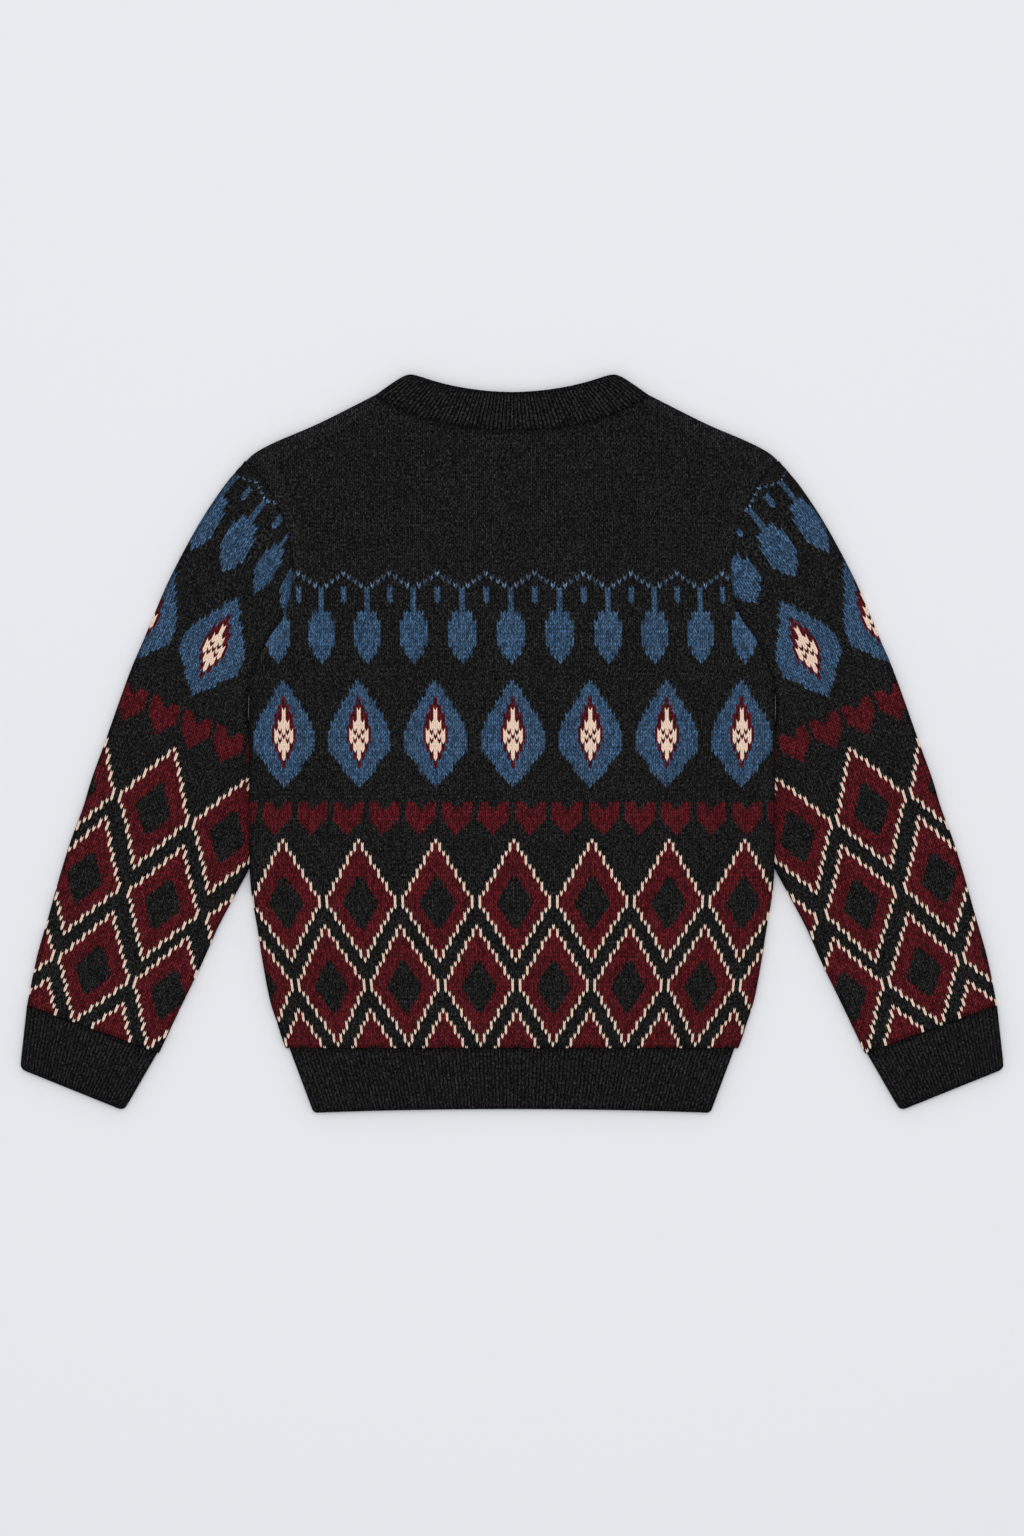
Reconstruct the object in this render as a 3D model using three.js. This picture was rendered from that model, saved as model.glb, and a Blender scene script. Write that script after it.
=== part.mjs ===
// A child's knitted pullover, lying flat on its front with its back upwards.
//
// It is made as the real one is: a back and a front panel, two sleeves knitted flat and seamed into
// tubes, a ribbed neckband, a ribbed hem in two halves and two ribbed cuffs. Every piece is a wall of
// cloth of its own, and the pieces lie 0.3 mm apart where they are sewn.
//
// X runs across the garment, Y from the hem to the neck, Z up from the surface that it lies on.
// Sizes are in millimetres. Heights named y are measured up from the lower edge of the hem.

import * as THREE from 'three';
import { mergeVertices } from 'three/addons/utils/BufferGeometryUtils.js';

// Cloth
const WALL = 2.6;                 // thickness of the two-colour knit and of the ribbing
const SEAM_GAP = 0.3;             // between pieces that are sewn together
const LAYER_GAP = 0.3;            // between layers that lie on each other
const FLAT_TUBE = 2 * WALL + LAYER_GAP;   // height of a tube that lies flat
const FOLD_RADIUS = FLAT_TUBE / 2;
const SEAM_DIP = 0.7;             // how far the face sinks where it is sewn
const RIB_SEAM_DIP = 0.4;         // the same at the sewn edge of ribbing
const EDGE_DIP = 2.1;             // how far it rounds away along a fold or a free edge
const EDGE_PART_WAY = 0.9;        // distance in from an edge of the point part-way round it
const FOLD_PART_WAY = 0.8;        // the same for the fold of a tube
const INSIDE_FOLD = 0.4;          // how much closer together such points are on the inside
const MERGE = 1e-3;               // corners closer than this are one

// Whole garment
const LENGTH = 554;               // lower edge of the hem to the top of the neckband

// How far the back stands off the front in its middle, and the heights over which it rises and falls
const BODY_LOFT = 1.6;
const BODY_LOFT_RISE = { from: 48, to: 130 };
const BODY_LOFT_FALL = { from: 420, to: 512 };

// Ribbing. Its rows of points are at shares of its height, and its face dips at them.
const RIB_HEIGHT = 0.7;           // a rib's crest above the groove beside it
const LIP_DIP = 1.2;              // how far a free edge of ribbing rounds away
const HEM_RIBS = 112;
const CUFF_RIBS = 34;
const NECK_RIBS = 66;             // over the back half, which shows
const HEM_ROWS = [
  { share: 0, dip: LIP_DIP },
  { share: 0.04, dip: 0 },
  { share: 1, dip: RIB_SEAM_DIP },
];
const CUFF_ROWS = [
  { share: 0, dip: RIB_SEAM_DIP },
  { share: 0.96, dip: 0 },
  { share: 1, dip: LIP_DIP },
];
const BAND_ROWS = [
  { share: 0.014, dip: RIB_SEAM_DIP },
  { share: 0.93, dip: 0 },
  { share: 1, dip: LIP_DIP },
];

// Hem
const HEM_HEIGHT = 48.3;
const HEM_TOP_HALF = 167;
const HEM_BOTTOM_HALF = 149;
const HEM_ARCH = 2.8;             // the lower edge rises this much in the middle
const HEM_CORNER = 3;
const FRONT_HEM_SHARES = [0.7, 0.35, 0, -0.35, -0.7];   // places across the half that rests

// Where the body lies over the sleeve, from just above the crotch to just below the underarm
const LIFT = FLAT_TUBE + 0.5;
const LIFT_TABLE = [
  { y: 156, share: 0 },
  { y: 170, share: 0.45 },
  { y: 183, share: 1 },
  { y: 292, share: 1 },
  { y: 304, share: 0.45 },
  { y: 316, share: 0 },
];
const LIFT_FLAT = 18;             // width that lies level on the sleeve, in from the side
const LIFT_END = 44;              // where the panel is back down on the surface

// Side of the body below the underarm. The panels have a row of points at each height.
const SIDE_TABLE = [
  { y: 48.6, halfWidth: 169.8 },
  { y: 50.6, halfWidth: 170.8 },
  { y: 66, halfWidth: 175.8 },
  { y: 84, halfWidth: 181.6 },
  { y: 112, halfWidth: 187 },
  { y: 140, halfWidth: 191.4 },
  { y: 156, halfWidth: 194.2 },
  { y: 170, halfWidth: 196 },
  { y: 183, halfWidth: 196.6 },
  { y: 220, halfWidth: 197 },
  { y: 256, halfWidth: 197 },
  { y: 292, halfWidth: 197.2 },
  { y: 304, halfWidth: 197.4 },
];

// Armhole: its half width at each height, and where the course of stitches that starts there
// reaches the fold at the sleeve's outer side.
const ARMHOLE_TABLE = [
  { y: 316, halfWidth: 197.2, foldX: 277.6, foldY: 352.6 },
  { y: 338, halfWidth: 191, foldX: 268.6, foldY: 374.4 },
  { y: 356, halfWidth: 182.6, foldX: 258.4, foldY: 398 },
  { y: 373, halfWidth: 171, foldX: 245.4, foldY: 423.6 },
  { y: 391, halfWidth: 165.4, foldX: 233, foldY: 445.4 },
  { y: 411, halfWidth: 164, foldX: 222.6, foldY: 461.4 },
  { y: 431, halfWidth: 166.8, foldX: 214, foldY: 473.4 },
  { y: 450, halfWidth: 173.4, foldX: 208.6, foldY: 479.8 },
  { y: 468, halfWidth: 181.6, foldX: 206, foldY: 483 },
  { y: 482, halfWidth: 191.4, foldX: 202.6, foldY: 486.6 },
];
const SHOULDER_TIP = { x: 199.4, y: 489.6 };
const CAP_TIP = { y: 487.2, halfWidth: 196.9, foldX: 201.1, foldY: 488.6 };   // the sleeve's first course

// Sleeve below the underarm: the two ends of each course, at the outer fold and at the inner one.
const SLEEVE_TABLE = [
  { foldX: 283, foldY: 340.4, innerX: 198.2, innerY: 300 },
  { foldX: 287, foldY: 330.4, innerX: 196.6, innerY: 288 },
  { foldX: 294.8, foldY: 309, innerX: 188.4, innerY: 262 },
  { foldX: 305.6, foldY: 278.2, innerX: 184.6, innerY: 230 },
  { foldX: 316, foldY: 249.4, innerX: 188, innerY: 203 },
  { foldX: 322, foldY: 229.4, innerX: 197.4, innerY: 183 },
  { foldX: 331.2, foldY: 204.6, innerX: 208.6, innerY: 162 },
  { foldX: 339, foldY: 179.6, innerX: 220.6, innerY: 139.4 },
  { foldX: 347.6, foldY: 149, innerX: 233.4, innerY: 110.6 },
  { foldX: 356.8, foldY: 116.6, innerX: 247.6, innerY: 81.4 },
  { foldX: 363.6, foldY: 83.2, innerX: 263.8, innerY: 47.2 },
  { foldX: 364.1, foldY: 80.7, innerX: 265, innerY: 44.8 },
];

// How far the sleeve's upper layer stands off the lower one in its middle, by the height of the
// course's inner end. It is less where the body lies on the sleeve.
const SLEEVE_LOFT_TABLE = [
  { y: 47, loft: 0 },
  { y: 81, loft: 0.4 },
  { y: 110, loft: 1.1 },
  { y: 139, loft: 1.5 },
  { y: 162, loft: 1.5 },
  { y: 183, loft: 0.6 },
  { y: 300, loft: 0.6 },
  { y: 316, loft: 1.5 },
  { y: 356, loft: 1.3 },
  { y: 411, loft: 0.5 },
  { y: 468, loft: 0 },
];
const SEWN_OUT = 0.45;            // seam gap along a course, where the armhole runs aslant
const SLEEVE_UPPER_STEPS = 6;
const LOWER_STEPS = 3;            // the layer that rests is flat
const ROOMY_RING = 9;             // a ring narrower than this has tighter folds

// Cuff: how much narrower than the sleeve it starts, and its end at the hand.
const CUFF_STEP = 1.2;
const CUFF_END = { foldX: 369.4, foldY: 33.1, innerX: 291.3, innerY: 1.6 };

// Neck. The seams are straight between these half widths, where the panels have their columns.
const NECK_KNOTS = [0, 18, 36, 54, 70, 84, 95, 103.5];
const NECK_SIDE = { x: 103.5, y: 538.4 };
const BACK_NECK_DROP = 25.8;
const BACK_NECK_POWER = 2.4;      // how flat the seam runs in the middle
const FRONT_NECK_DROP = 76.4;
const BAND_SIDE = { x: 78, y: LENGTH };   // where the band's upper edge folds
const BACK_BAND_DROP = 13;
const BACK_BAND_POWER = 1.85;
const FRONT_BAND_DROP = 65;
const BAND_LENGTH = 240;          // about the length of either half, for sizes near the side folds
const SHOULDER_TABLE = [
  { x: 103.5, y: 538.4 },
  { x: 118, y: 531 },
  { x: 146.6, y: 516.8 },
  { x: 184, y: 500.4 },
  { x: 194, y: 494.5 },
  { x: 199.4, y: 489.6 },
];

// Yarn
const patternedKnit = new THREE.MeshStandardMaterial({ color: 0x30201f, roughness: 0.95, metalness: 0 });
const blackRibbing = new THREE.MeshStandardMaterial({ color: 0x1b1a1a, roughness: 0.95, metalness: 0 });

// ---------------------------------------------------------------- small tools

const { lerp, clamp, smoothstep } = THREE.MathUtils;

// A column of a table read at any place, straight between the rows.
function readTable(table, key, at, column) {
  if (at <= table[0][key]) return table[0][column];
  for (let row = 1; row < table.length; row += 1) {
    const low = table[row - 1];
    const high = table[row];
    if (at <= high[key]) {
      return lerp(low[column], high[column], (at - low[key]) / (high[key] - low[key]));
    }
  }
  return table[table.length - 1][column];
}

// How far the face lies below the level of the cloth, at a distance in from an edge.
function edgeDrop(distance, dip) {
  const reach = clamp(1 - distance / WALL, 0, 1);
  return dip * (1 - Math.sqrt(1 - reach * reach));
}

// A closed wall of cloth from two grids of points, its face and its inside, with rims along the
// edges. From the row `seamedFrom` on, the first and last columns are the same points, as in a tube.
function clothWall(face, inside, seamedFrom) {
  const points = [];
  const quad = (a, b, c, d) => points.push(...a, ...b, ...c, ...a, ...c, ...d);
  const rows = face.length;
  const columns = face[0].length;
  for (let row = 0; row + 1 < rows; row += 1) {
    for (let column = 0; column + 1 < columns; column += 1) {
      quad(face[row][column], face[row][column + 1], face[row + 1][column + 1], face[row + 1][column]);
      quad(inside[row][column], inside[row + 1][column], inside[row + 1][column + 1],
        inside[row][column + 1]);
    }
  }
  for (let row = 0; row < Math.min(seamedFrom, rows - 1); row += 1) {
    const last = columns - 1;
    quad(face[row][0], face[row + 1][0], inside[row + 1][0], inside[row][0]);
    quad(face[row][last], inside[row][last], inside[row + 1][last], face[row + 1][last]);
  }
  for (let column = 0; column + 1 < columns; column += 1) {
    const end = rows - 1;
    quad(face[0][column], inside[0][column], inside[0][column + 1], face[0][column + 1]);
    quad(face[end][column], face[end][column + 1], inside[end][column + 1], inside[end][column]);
  }
  return solidFromTriangles(points);
}

// Merges the corners and turns the faces outwards.
function solidFromTriangles(points) {
  let volume = 0;
  for (let i = 0; i < points.length; i += 9) {
    const [ax, ay, az, bx, by, bz, cx, cy, cz] = points.slice(i, i + 9);
    volume += ax * (by * cz - bz * cy) + ay * (bz * cx - bx * cz) + az * (bx * cy - by * cx);
  }
  if (volume < 0) {
    for (let i = 0; i < points.length; i += 9) {
      const second = points.slice(i + 3, i + 6);
      points.splice(i + 3, 6, ...points.slice(i + 6, i + 9), ...second);
    }
  }
  const geometry = new THREE.BufferGeometry();
  geometry.setAttribute('position', new THREE.Float32BufferAttribute(points, 3));
  const merged = mergeVertices(geometry, MERGE);
  merged.computeVertexNormals();
  return merged;
}

// Ribs follow each other as a crest and a groove, half a rib apart
const ribCrest = (step) => RIB_HEIGHT * (step % 2 - 0.5);

const mirrored = (grid) => grid.map((row) => row.map(([x, y, z]) => [-x, y, z]));

// ---------------------------------------------------------------- body panels

const PANEL_ROWS = [...SIDE_TABLE, ...ARMHOLE_TABLE, { y: SHOULDER_TIP.y, halfWidth: SHOULDER_TIP.x }];
const UNDERARM = ARMHOLE_TABLE[0].y;
const EDGE_STEPS = [0, EDGE_PART_WAY, WALL, LIFT_FLAT, 26, 35, LIFT_END];
const SHOULDER_STEP = 118;
const TOP_STEPS = [WALL, EDGE_PART_WAY];    // rows just under the shoulder and neck seams

const halfWidthAt = (y) => readTable(PANEL_ROWS, 'y', y, 'halfWidth');

// Neck seams, as heights above a place across the garment
const deepCurve = (share, drop) => drop * Math.sqrt(Math.max(0, 1 - share ** 2));
const shallowCurve = (share, drop, power) => drop * (1 - share ** power);
const backNeck = (share) => NECK_SIDE.y - shallowCurve(share, BACK_NECK_DROP, BACK_NECK_POWER);
const frontNeck = (share) => NECK_SIDE.y - deepCurve(share, FRONT_NECK_DROP);
const backBand = (share) => BAND_SIDE.y - shallowCurve(share, BACK_BAND_DROP, BACK_BAND_POWER);
const frontBand = (share) => BAND_SIDE.y - deepCurve(share, FRONT_BAND_DROP);

// Points along a neck edge from left to right, at the neck's knots
function neckLine(heightAt, halfWidth) {
  const half = NECK_KNOTS.map((knot) => knot / NECK_SIDE.x)
    .map((share) => ({ x: share * halfWidth, y: heightAt(share) }));
  const other = half.slice(1).map(({ x, y }) => ({ x: -x, y })).reverse();
  return [...other, ...half];
}

// Upper edge of a panel: its neck seam in the middle, its shoulders at the sides
function panelTop(x, knots) {
  const reach = Math.abs(x);
  if (reach >= NECK_SIDE.x) return readTable(SHOULDER_TABLE, 'x', reach, 'y');
  return readTable(knots, 'x', x, 'y');
}

// How far the body is raised where it lies on the sleeve
function bodyLift(x, y) {
  const inFromSide = halfWidthAt(y) - Math.abs(x);
  const across = 1 - smoothstep(inFromSide, LIFT_FLAT, LIFT_END);
  return LIFT * across * readTable(LIFT_TABLE, 'y', y, 'share');
}

function bodyLoft(x, y) {
  const across = 1 - (x / halfWidthAt(Math.min(y, SHOULDER_TIP.y))) ** 2;
  const risen = smoothstep(y, BODY_LOFT_RISE.from, BODY_LOFT_RISE.to);
  const fallen = smoothstep(y, BODY_LOFT_FALL.from, BODY_LOFT_FALL.to);
  return BODY_LOFT * clamp(across, 0, 1) * risen * (1 - fallen);
}

// Columns of a panel at one of its rows: steps in from each side, and the neck's knots between them
function panelColumns(halfWidth) {
  const side = EDGE_STEPS.map((step) => halfWidth - step);
  const middle = [SHOULDER_STEP, ...[...NECK_KNOTS].reverse()];
  const half = [...side, ...middle];
  const other = half.slice(0, -1).map((x) => -x);
  return [...other, ...half.reverse()];
}

// Grid of places on a panel, with the distance to its side and to its upper edge
function panelPlan(knots) {
  const topRow = PANEL_ROWS[PANEL_ROWS.length - 1];
  const rows = [
    ...PANEL_ROWS.slice(0, -1).map((row) => ({ ...row, below: null })),
    ...TOP_STEPS.map((below) => ({ ...topRow, halfWidth: halfWidthAt(topRow.y - below), below })),
    { ...topRow, below: 0 },
  ];
  const topColumns = panelColumns(topRow.halfWidth);
  return rows.map(({ y, halfWidth, below }) => panelColumns(halfWidth).map((x, column) => {
    const rise = panelTop(topColumns[column], knots) - SHOULDER_TIP.y;
    const share = smoothstep(y, UNDERARM, SHOULDER_TIP.y);
    const place = below === null ? y + rise * share : SHOULDER_TIP.y + rise - below;
    const underTop = below === null ? WALL : below;
    return { x, y: place, rowY: y, fromSide: halfWidth - Math.abs(x), underTop };
  }));
}

// How far the face rounds away at a place on a panel
function panelDrop({ x, rowY, fromSide, underTop }) {
  const sideDip = rowY >= UNDERARM ? SEAM_DIP : EDGE_DIP;
  const topDip = Math.abs(x) < NECK_SIDE.x ? SEAM_DIP : EDGE_DIP;
  const bottomDip = rowY < SIDE_TABLE[1].y ? SEAM_DIP : 0;
  return Math.max(edgeDrop(fromSide, sideDip), edgeDrop(underTop, topDip), bottomDip);
}

function frontPanel() {
  const plan = panelPlan(neckLine(frontNeck, NECK_SIDE.x));
  const base = ({ x, rowY }) => bodyLift(x, rowY);
  const face = plan.map((row) => row.map((at) => [at.x, at.y, base(at) + panelDrop(at)]));
  const inside = plan.map((row) => row.map((at) => [at.x, at.y, base(at) + WALL]));
  return clothWall(face, inside, plan.length);
}

function backPanel() {
  const plan = panelPlan(neckLine(backNeck, NECK_SIDE.x));
  const base = ({ x, y, rowY }) => bodyLift(x, rowY) + WALL + LAYER_GAP + bodyLoft(x, y);
  const face = plan.map((row) => row.map((at) => [at.x, at.y, base(at) + WALL - panelDrop(at)]));
  const inside = plan.map((row) => row.map((at) => [at.x, at.y, base(at)]));
  return clothWall(face, inside, plan.length);
}

// ---------------------------------------------------------------- sleeves and cuffs

// One ring of a tube that lies flat. It starts at the inner side, runs out along the layer that
// rests, round the outer fold and back along the upper layer. `openSide` is true where the ring is
// not closed at its inner side, as in the sleeve's cap. `crest` raises a place on the upper layer.
function flatRing({ row, upperSteps, lowerSteps, openSide, loft, crest, faceDip }) {
  const width = Math.hypot(row.foldX - row.innerX, row.foldY - row.innerY);
  const place = (distance) => [
    lerp(row.innerX, row.foldX, distance / width),
    lerp(row.innerY, row.foldY, distance / width),
  ];
  const tight = Math.min(1, width / ROOMY_RING);
  const radius = tight * FOLD_RADIUS;
  const nearFold = [0, tight * FOLD_PART_WAY, radius];
  const roundAway = (distance) => {
    const reach = clamp(1 - distance / radius, 0, 1);
    return FOLD_RADIUS * (1 - Math.sqrt(1 - reach * reach));
  };
  const insideFold = (distance) => tight * WALL + INSIDE_FOLD * distance;

  const stations = [];
  const addLayer = (isUpper, steps) => {
    const layer = [];
    nearFold.forEach((distance) => layer.push({
      distance,
      insideDistance: openSide ? distance : insideFold(distance),
      round: openSide ? SEAM_DIP * clamp(1 - distance, 0, 1) : roundAway(distance),
      middle: !openSide && distance === 0,
    }));
    for (let step = 1; step < steps; step += 1) {
      const share = step / steps;
      const insideStart = openSide ? radius : insideFold(radius);
      layer.push({
        distance: lerp(radius, width - radius, share),
        insideDistance: lerp(insideStart, width - insideFold(radius), share),
        round: 0,
        rib: step,
      });
    }
    [...nearFold].reverse().forEach((distance) => layer.push({
      distance: width - distance,
      insideDistance: width - insideFold(distance),
      round: roundAway(distance),
      middle: distance === 0,
    }));
    if (isUpper) layer.reverse();
    layer.forEach((station) => stations.push({ ...station, isUpper }));
  };
  addLayer(false, lowerSteps);
  addLayer(true, upperSteps);
  const lowerStations = 2 * nearFold.length + lowerSteps - 1;
  stations.splice(lowerStations, 1);      // the outer fold is one column, not two

  const face = [];
  const inside = [];
  stations.forEach(({ distance, insideDistance, round, middle, isUpper, rib }) => {
    const swell = Math.sin(Math.PI * clamp(distance / width, 0, 1)) ** 2;
    const top = FLAT_TUBE + loft * swell;
    const dip = Math.max(round, middle ? 0 : faceDip);
    const upperFace = top - dip + (rib === undefined ? 0 : crest(rib));
    const faceZ = isUpper ? upperFace : Math.min(dip, FOLD_RADIUS);
    const insideZ = isUpper ? top - WALL : WALL;
    face.push([...place(distance), middle ? FOLD_RADIUS : faceZ]);
    inside.push([...place(insideDistance), middle ? FOLD_RADIUS : insideZ]);
  });
  return { face, inside };
}

function sleeve() {
  const cap = [CAP_TIP, ...[...ARMHOLE_TABLE].reverse()].map((row) => ({
    row: { ...row, innerX: row.halfWidth + SEWN_OUT, innerY: row.y },
    openSide: row.y > UNDERARM,
  }));
  const lower = SLEEVE_TABLE.map((row) => ({ row, openSide: false }));
  const rows = [...cap, ...lower];
  const rings = rows.map(({ row, openSide }, index) => flatRing({
    row,
    upperSteps: SLEEVE_UPPER_STEPS,
    lowerSteps: LOWER_STEPS,
    openSide,
    loft: readTable(SLEEVE_LOFT_TABLE, 'y', row.innerY, 'loft'),
    crest: () => 0,
    faceDip: index === rows.length - 1 ? SEAM_DIP : 0,
  }));
  const seamedFrom = rows.findIndex(({ openSide }) => !openSide);
  return { face: rings.map((ring) => ring.face), inside: rings.map((ring) => ring.inside), seamedFrom };
}

// The line where a cuff is sewn on: a seam's gap past the sleeve's last course, and a little narrower
function cuffStart() {
  const end = SLEEVE_TABLE[SLEEVE_TABLE.length - 1];
  const width = Math.hypot(end.foldX - end.innerX, end.foldY - end.innerY);
  const along = [(end.foldX - end.innerX) / width, (end.foldY - end.innerY) / width];
  const down = [along[1] * SEAM_GAP, -along[0] * SEAM_GAP];
  return {
    foldX: end.foldX + down[0],
    foldY: end.foldY + down[1],
    innerX: end.innerX + down[0] + along[0] * CUFF_STEP,
    innerY: end.innerY + down[1] + along[1] * CUFF_STEP,
  };
}

function cuff() {
  const start = cuffStart();
  const rings = CUFF_ROWS.map(({ share, dip }) => flatRing({
    row: {
      foldX: lerp(start.foldX, CUFF_END.foldX, share),
      foldY: lerp(start.foldY, CUFF_END.foldY, share),
      innerX: lerp(start.innerX, CUFF_END.innerX, share),
      innerY: lerp(start.innerY, CUFF_END.innerY, share),
    },
    upperSteps: 2 * CUFF_RIBS,
    lowerSteps: LOWER_STEPS,
    openSide: false,
    loft: 0,
    crest: ribCrest,
    faceDip: dip,
  }));
  return { face: rings.map((ring) => ring.face), inside: rings.map((ring) => ring.inside), seamedFrom: 0 };
}

// ---------------------------------------------------------------- hem

// Places near a side of the hem, as shares of its half width
const hemEdge = () => [0, EDGE_PART_WAY, WALL].map((step) => 1 - step / HEM_TOP_HALF);

// Places across the hem: near each side, and half a rib apart between
function hemStations() {
  const edge = hemEdge();
  const first = edge[edge.length - 1];
  const ribs = [];
  for (let step = 1; step < 2 * HEM_RIBS; step += 1) {
    ribs.push({ share: lerp(first, -first, step / (2 * HEM_RIBS)), rib: step });
  }
  const side = edge.map((share) => ({ share, rib: null }));
  const otherSide = [...side].reverse().map(({ share }) => ({ share: -share, rib: null }));
  return [...side, ...ribs, ...otherSide].reverse();
}

// The hem's lower edge rises in the middle and is rounded at its corners
function hemBottom(share) {
  const fromSide = (1 - Math.abs(share)) * HEM_TOP_HALF;
  const reach = clamp(1 - fromSide / HEM_CORNER, 0, 1);
  return HEM_ARCH * (1 - share ** 2) + HEM_CORNER * (1 - Math.sqrt(1 - reach * reach));
}

function hemHalf(stations, isBack) {
  const base = isBack ? WALL + LAYER_GAP : 0;
  const placeAt = (station, row) => {
    const y = lerp(hemBottom(station.share), HEM_HEIGHT, row.share);
    const half = lerp(HEM_BOTTOM_HALF, HEM_TOP_HALF, y / HEM_HEIGHT);
    return [station.share * half, y];
  };
  const dipAt = (station, row) => {
    const fromSide = (1 - Math.abs(station.share)) * HEM_TOP_HALF;
    return Math.max(edgeDrop(fromSide, EDGE_DIP), row.dip);
  };
  const face = HEM_ROWS.map((row) => stations.map((station) => {
    const dip = dipAt(station, row);
    const crest = station.rib === null ? 0 : ribCrest(station.rib);
    return [...placeAt(station, row), isBack ? base + WALL - dip + crest : dip];
  }));
  const inside = HEM_ROWS.map((row) => stations.map((station) => (
    [...placeAt(station, row), isBack ? base : WALL]
  )));
  return clothWall(face, inside, HEM_ROWS.length);
}

const hemBack = () => hemHalf(hemStations(), true);

function hemFront() {
  const edge = hemEdge();
  const shares = [...edge, ...FRONT_HEM_SHARES, ...[...edge].reverse().map((share) => -share)];
  return hemHalf(shares.reverse().map((share) => ({ share, rib: null })), false);
}

// ---------------------------------------------------------------- neckband

// A point at a share of the length of a line of points
function pointAlong(line, share) {
  const lengths = line.slice(1).map((point, index) => (
    Math.hypot(point.x - line[index].x, point.y - line[index].y)
  ));
  const whole = lengths.reduce((sum, length) => sum + length, 0);
  let left = share * whole;
  for (let piece = 0; piece < lengths.length; piece += 1) {
    if (left <= lengths[piece] || piece === lengths.length - 1) {
      const part = left / lengths[piece];
      return [lerp(line[piece].x, line[piece + 1].x, part), lerp(line[piece].y, line[piece + 1].y, part)];
    }
    left -= lengths[piece];
  }
  return null;
}

// Shares of a line's length at which its points lie
function knotShares(line) {
  const shares = [0];
  line.slice(1).forEach((point, index) => {
    const step = Math.hypot(point.x - line[index].x, point.y - line[index].y);
    shares.push(shares[index] + step);
  });
  const whole = shares[shares.length - 1];
  return shares.map((share) => share / whole);
}

// The neckband is one ring. Its back half lies over its front half, and they meet at two side folds.
function neckband() {
  const halves = {
    back: { seam: neckLine(backNeck, NECK_SIDE.x), top: neckLine(backBand, BAND_SIDE.x) },
    front: { seam: neckLine(frontNeck, NECK_SIDE.x), top: neckLine(frontBand, BAND_SIDE.x) },
  };
  const nearFold = [FOLD_PART_WAY, FOLD_RADIUS].map((distance) => distance / BAND_LENGTH);
  const insideNear = [FOLD_PART_WAY, FOLD_RADIUS]
    .map((distance) => (WALL + INSIDE_FOLD * distance) / BAND_LENGTH);
  const placeAt = (half, share, row) => {
    const low = pointAlong(half.seam, share);
    const high = pointAlong(half.top, share);
    return [lerp(low[0], high[0], row.share), lerp(low[1], high[1], row.share)];
  };
  const roundAway = (distance) => FOLD_RADIUS * (1 - Math.sqrt(1 - (1 - distance / FOLD_RADIUS) ** 2));

  const halfStations = (isBack) => {
    const middle = [];
    if (isBack) {
      for (let step = 1; step < 2 * NECK_RIBS; step += 1) {
        const share = step / (2 * NECK_RIBS);
        middle.push({
          share: lerp(nearFold[1], 1 - nearFold[1], share),
          inside: lerp(insideNear[1], 1 - insideNear[1], share),
          round: 0,
          crest: ribCrest(step),
        });
      }
    } else {
      knotShares(halves.front.seam).slice(1, -1)
        .forEach((share) => middle.push({ share, inside: share, round: 0, crest: 0 }));
    }
    const start = nearFold.map((share, index) => (
      { share, inside: insideNear[index], round: roundAway(share * BAND_LENGTH), crest: 0 }
    ));
    const end = start.map((station) => (
      { ...station, share: 1 - station.share, inside: 1 - station.inside }
    )).reverse();
    const stations = [...start, ...middle, ...end].map((station) => ({ ...station, isBack }));
    return isBack ? stations : stations.reverse();
  };
  const foldStation = (side) => ({ fold: side });
  const stations = [foldStation(0), ...halfStations(true), foldStation(1), ...halfStations(false),
    foldStation(0)];

  const faceAt = (station, row) => {
    if (station.fold !== undefined) return [...placeAt(halves.back, station.fold, row), FOLD_RADIUS];
    const half = station.isBack ? halves.back : halves.front;
    const dip = Math.max(station.round, row.dip);
    const z = station.isBack ? FLAT_TUBE - dip + station.crest : dip;
    return [...placeAt(half, station.share, row), z];
  };
  const insideAt = (station, row) => {
    if (station.fold !== undefined) {
      return [...placeAt(halves.back, Math.abs(station.fold - WALL / BAND_LENGTH), row), FOLD_RADIUS];
    }
    const half = station.isBack ? halves.back : halves.front;
    return [...placeAt(half, station.inside, row), station.isBack ? WALL + LAYER_GAP : WALL];
  };
  const face = BAND_ROWS.map((row) => stations.map((station) => faceAt(station, row)));
  const inside = BAND_ROWS.map((row) => stations.map((station) => insideAt(station, row)));
  return clothWall(face, inside, 0);
}

// ---------------------------------------------------------------- the garment

const pullover = new THREE.Group();
pullover.position.y = -LENGTH / 2;

function addPiece(name, geometry, material) {
  const piece = new THREE.Mesh(geometry, material);
  piece.name = name;
  pullover.add(piece);
}

function addPair(name, { face, inside, seamedFrom }, material) {
  addPiece(`${name}_right`, clothWall(face, inside, seamedFrom), material);
  addPiece(`${name}_left`, clothWall(mirrored(face), mirrored(inside), seamedFrom), material);
}

addPiece('front_panel', frontPanel(), patternedKnit);
addPiece('back_panel', backPanel(), patternedKnit);
addPair('sleeve', sleeve(), patternedKnit);
addPair('cuff', cuff(), blackRibbing);
addPiece('hem_front', hemFront(), blackRibbing);
addPiece('hem_back', hemBack(), blackRibbing);
addPiece('neckband', neckband(), blackRibbing);

export default pullover;
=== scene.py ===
"""A child's knitted pullover, lying flat on its front with its back upwards.

Each piece of cloth is a closed wall with a face and an inside, in the places that the frame gives.
Tables and sizes below are in millimetres, with heights measured up from the lower edge of the hem.
"""

import math

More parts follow.
